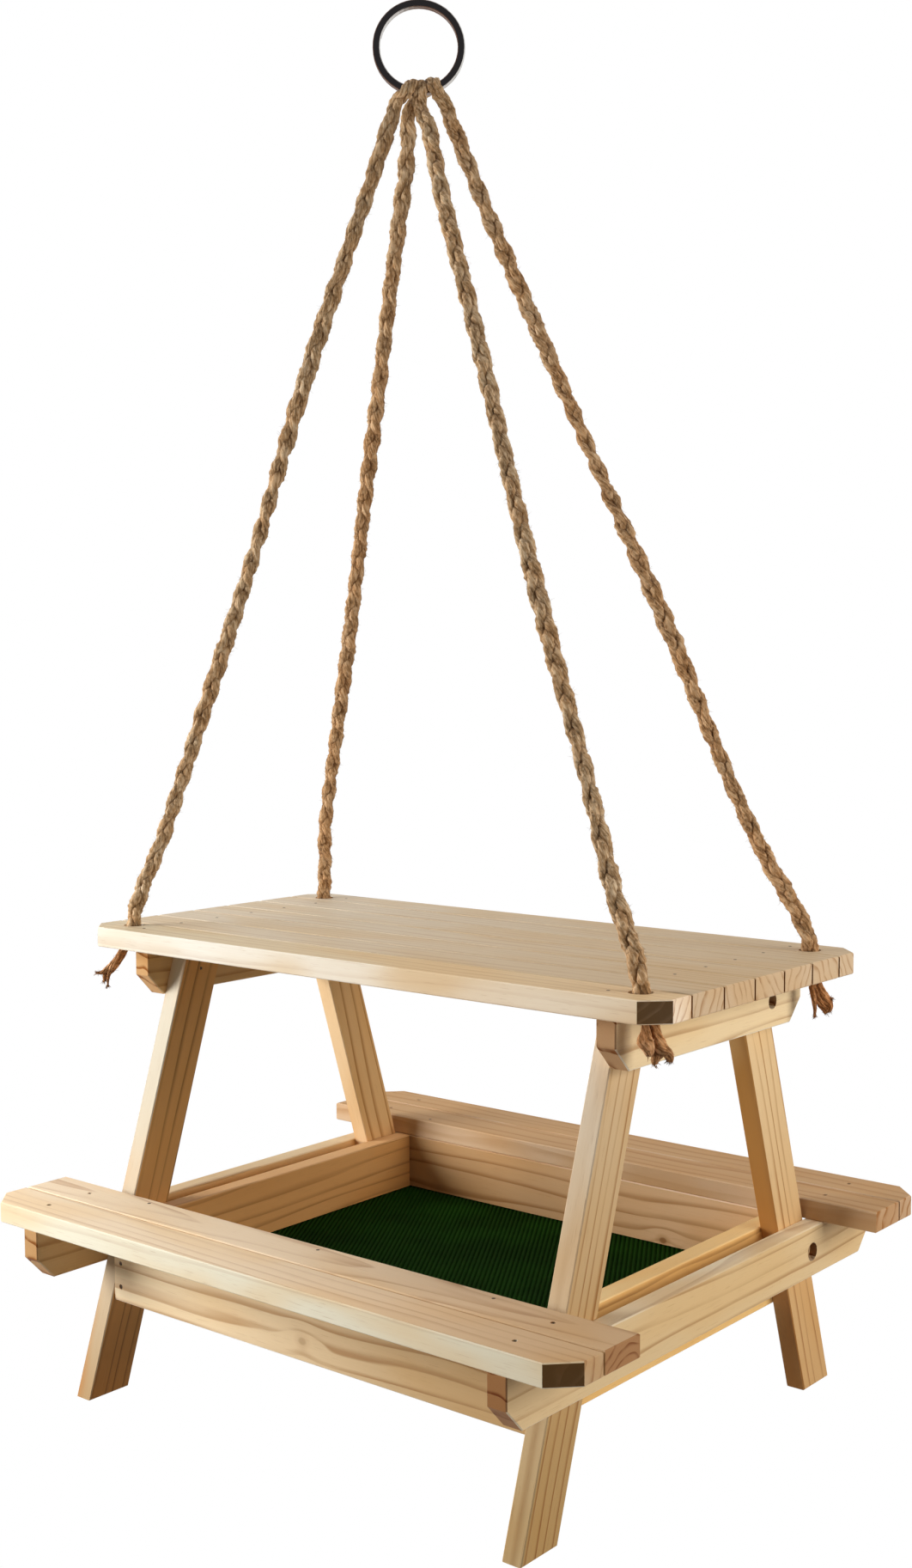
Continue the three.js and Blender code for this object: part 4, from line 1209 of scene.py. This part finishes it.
class BirdTableSetStage(bpy.types.Operator):
    """Sets the camera, the lamps, the floor and the background"""

    bl_idname = "bird_table.set_stage"
    bl_label = "Stage"

    # The photograph's camera, in the part's frame
    PLACE = Vector((0.464537, -0.534464, -0.247253))
    RIGHT = Vector((0.78048388, 0.62517265, -0.00201672))
    CAMERA_UP = Vector((-0.04618542, 0.06087567, 0.99707626))
    BACK = Vector((0.62346757, -0.7781088, 0.07638634))
    FRAME_WIDTH = 1062
    FRAME_HEIGHT = 1825
    FOCAL_PIXELS = 2120.065
    MIDDLE_X_PIXELS = 576.909
    MIDDLE_Y_PIXELS = 937.098
    SENSOR_WIDTH = 36

    # What the lamps look at, and each lamp's place, the length of its side and its colour
    AIM = Vector((0.0, -0.01, -0.40))
    LAMPS = {
        "front": ((-0.62, -0.56, -0.22), 0.45, (1.0, 0.985, 0.96)),
        "side": ((0.82, 0.20, -0.20), 0.45, (1.0, 0.965, 0.91)),
        "top": ((-0.2, 0.1, 0.8), 0.9, WHITE),
    }

    # The floor's radius, and the distances at which it starts to fade to the background and has gone
    FLOOR_RADIUS = 9
    FLOOR_FADE = (0.45, 0.95)

    def lamp(self, name, strength, place, size, colour):
        """A square soft lamp that looks at the table. A strength of 1 shows a colour as it is written."""
        way = Vector(place) - self.AIM
        data = bpy.data.lights.new(name, "AREA")
        data.shape = "SQUARE"
        data.size = size
        data.energy = strength * math.pi ** 2 * way.length_squared
        data.color = colour
        lamp = bpy.data.objects.new(name, data)
        bpy.context.scene.collection.objects.link(lamp)
        lamp.location = place
        lamp.rotation_euler = way.to_track_quat("Z", "Y").to_euler()
        lamp.visible_camera = False
        lamp.visible_glossy = False

    def camera(self):
        """The photograph's camera."""
        data = bpy.data.cameras.new("camera")
        longest = max(self.FRAME_WIDTH, self.FRAME_HEIGHT)
        data.sensor_width = self.SENSOR_WIDTH
        data.lens = self.FOCAL_PIXELS * data.sensor_width / longest
        data.shift_x = (self.FRAME_WIDTH / 2 - self.MIDDLE_X_PIXELS) / longest
        data.shift_y = (self.MIDDLE_Y_PIXELS - self.FRAME_HEIGHT / 2) / longest
        data.clip_start = 0.01
        camera = bpy.data.objects.new("camera", data)
        bpy.context.scene.collection.objects.link(camera)
        turn = Matrix((self.RIGHT, self.CAMERA_UP, self.BACK)).transposed().to_4x4()
        camera.matrix_world = Matrix.Translation(self.PLACE) @ turn
        bpy.context.scene.camera = camera

    def world(self, stage):
        """A white background, and a weaker even light on the table."""
        world = bpy.data.worlds.new("studio")
        world.use_nodes = True
        bpy.context.scene.world = world
        nodes = Nodes(world.node_tree)
        background = world.node_tree.nodes["Background"]
        seen = nodes.seen()
        strength = nodes.add(
            "ShaderNodeMapRange", None, {"Value": seen, "To Min": stage.ambient, "To Max": 1.0})
        nodes.feed(background.inputs["Strength"], strength)
        nodes.feed(background.inputs["Color"], nodes.mix(seen, stage.ambient_colour, WHITE))

    def floor(self, stage):
        """A wide pale floor, which fades to the white background away from the table."""
        deselect()
        bpy.ops.mesh.primitive_circle_add(
            vertices=96, radius=self.FLOOR_RADIUS, fill_type="NGON",
            location=(0, 0, cad_box[0].z - stage.floor_drop))
        floor = bpy.context.object
        floor.name = "floor"
        settle(floor)
        finish = Finish("pale floor", Roughness=0.9)
        place = finish.coordinates()
        across, along, _ = finish.parts(place)
        distance = (across * across + along * along) ** 0.5
        paper = finish.noise(place, 40.0, 3.0)
        finish.shade(
            Base_Color=finish.mix(paper * 0.3, stage.floor_colour, dimmed(stage.floor_colour, 0.97)))
        glow = finish.add("ShaderNodeEmission", None, {"Color": WHITE, "Strength": 1.0})
        shader = Value(finish, finish.shader.outputs[0])
        faded = finish.seen() * finish.step(distance, *self.FLOOR_FADE)
        both = finish.add("ShaderNodeMixShader", None, {0: faded, 1: shader, 2: glow})
        finish.feed(finish.output.inputs["Surface"], both)
        coat(floor, finish)

    def execute(self, context):
        stage = context.scene.bird_stage
        context.scene.view_settings.view_transform = "Standard"
        self.camera()
        for name, details in self.LAMPS.items():
            self.lamp(f"{name} lamp", getattr(stage, f"{name}_strength"), *details)
        self.world(stage)
        self.floor(stage)
        return {"FINISHED"}


class BirdTableMakeRopes(bpy.types.Operator):
    """Plaits the two ropes, frays their four ends and adds their loose hairs"""

    bl_idname = "bird_table.make_ropes"
    bl_label = "Ropes"

    def execute(self, context):
        for seed, (which, (front, back, loops)) in enumerate(ROPES.items(), 1):
            piece, line, length, skin = plait(f"rope_{which}", which, seed)
            ends = [frayed_end(corner, seed * 10 + index) for index, corner in enumerate((front, back))]
            hairs = loose_hairs(f"rope_hairs_{which}", skin, seed + 50)
            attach(piece, "table")
            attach(hairs, "table")
            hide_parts(f"rope_strand_{front}", f"rope_strand_{back}", *loops)
            line[::6] + [line[-1]]
        return {"FINISHED"}


class BirdTableDressBoards(bpy.types.Operator):
    """Gives each board its own cut of pine"""

    bl_idname = "bird_table.dress_boards"
    bl_label = "Boards"

    def execute(self, context):
        for node, board in BOARDS.items():
            coat(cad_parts[node], pine(node, board))
        return {"FINISHED"}


SCREW_ROUGHNESS = 0.34
NAIL_ROUGHNESS = 0.45


class BirdTableDressMetal(bpy.types.Operator):
    """Gives the ring, the screws and the nails their steel"""

    bl_idname = "bird_table.dress_metal"
    bl_label = "Ring, screws and nails"

    def execute(self, context):
        metal = context.scene.bird_metal
        screws = dull_steel("screw steel", metal.screw_colour, SCREW_ROUGHNESS)
        nails = dull_steel("nail steel", metal.nail_colour, NAIL_ROUGHNESS)
        for name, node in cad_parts.items():
            if "_screw_" in name:
                coat(node, screws)
            elif "_nail_" in name:
                coat(node, nails)
        coat(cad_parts["split_ring"], ring_steel())
        return {"FINISHED"}


# Where the nails through the benches' inner slats into the tray's long walls are, from the table's middle
BENCH_WALL_NAILS = {"left": -0.0762, "middle": 0.0152, "right": 0.0960}


class BirdTableMakeNails(bpy.types.Operator):
    """Drives nails through the top and through the benches' inner slats"""

    bl_idname = "bird_table.make_nails"
    bl_label = "More nails"

    def execute(self, context):
        finish = dull_steel("small nail steel", context.scene.bird_metal.nail_colour, NAIL_ROUGHNESS)
        nail = model_nail("nail_pattern")
        for slat in range(1, 8):
            low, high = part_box(f"top_slat_{slat}")
            for side in ("left", "right"):
                cleat_low, cleat_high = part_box(f"top_cleat_{side}")
                place = Vector(((cleat_low.x + cleat_high.x) / 2, (low.y + high.y) / 2, high.z))
                copy_nail(nail, f"top_nail_{side}_{slat}", place, finish)
        for face in ("front", "back"):
            wall_low, wall_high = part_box(f"tray_wall_{face}")
            _, slat_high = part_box(f"bench_slat_{face}_inner")
            for name, across in BENCH_WALL_NAILS.items():
                place = Vector((across, (wall_low.y + wall_high.y) / 2, slat_high.z))
                copy_nail(nail, f"bench_wall_nail_{face}_{name}", place, finish)
        bpy.data.objects.remove(nail)
        return {"FINISHED"}


class BirdTableMakeNet(bpy.types.Operator):
    """Makes the tray's floor of two layers of green strands"""

    bl_idname = "bird_table.make_net"
    bl_label = "Net floor"

    def execute(self, context):
        net = context.scene.bird_net
        low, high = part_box("tray_mesh_floor")
        middle = (low + high) / 2
        depth = (high.z - low.z) * NET_LAYER
        upper = Vector((middle.x, middle.y, high.z - depth / 2))
        lower = Vector((middle.x, middle.y, low.z + depth / 2))
        finish = green_net()
        for name, width, spacing, place, turn in (
                ("net_upper_strands", net.rib_width, net.rib_spacing, upper, net.turn),
                ("net_lower_strands", net.bar_width, net.bar_spacing, lower, net.turn + math.pi / 2)):
            piece = model_rows(name, width, depth, spacing, place, turn)
            trim_to(piece, low, high)
            bpy.ops.object.shade_smooth_by_angle(angle=math.radians(50))
            coat(piece, finish)
            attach(piece, "table")
            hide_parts("tray_mesh_floor")
        return {"FINISHED"}


class BirdTablePanel(bpy.types.Panel):
    """Lists the steps in the order that makes the bird table"""

    bl_idname = "VIEW3D_PT_bird_table"
    bl_label = "Bird Table"
    bl_space_type = "VIEW_3D"
    bl_region_type = "UI"
    bl_category = "Bird Table"

    def draw(self, context):
        for step in STEPS:
            self.layout.operator(step.bl_idname)
        for name, group in GROUPS.items():
            box = self.layout.box()
            box.label(text=group.__doc__)
            for setting in group.__annotations__:
                box.prop(getattr(context.scene, name), setting)


STEPS = (
    BirdTableSetStage,
    BirdTableMakeRopes,
    BirdTableDressBoards,
    BirdTableDressMetal,
    BirdTableMakeNails,
    BirdTableMakeNet,
)


def register():
    for group in GROUPS.values():
        bpy.utils.register_class(group)
    for name, group in GROUPS.items():
        setattr(bpy.types.Scene, name, PointerProperty(type=group))
    for step in STEPS:
        bpy.utils.register_class(step)
    bpy.utils.register_class(BirdTablePanel)


def unregister():
    bpy.utils.unregister_class(BirdTablePanel)
    for step in reversed(STEPS):
        bpy.utils.unregister_class(step)
    for name, group in GROUPS.items():
        delattr(bpy.types.Scene, name)
        bpy.utils.unregister_class(group)


def main():
    """Makes the whole bird table."""
    register()
    for step in STEPS:
        name = step.bl_idname.split(".")[1]
        if getattr(bpy.ops.bird_table, name)() != {"FINISHED"}:
            raise RuntimeError(f"{step.bl_label} wasn't finished")


if __name__ == "__main__":
    main()
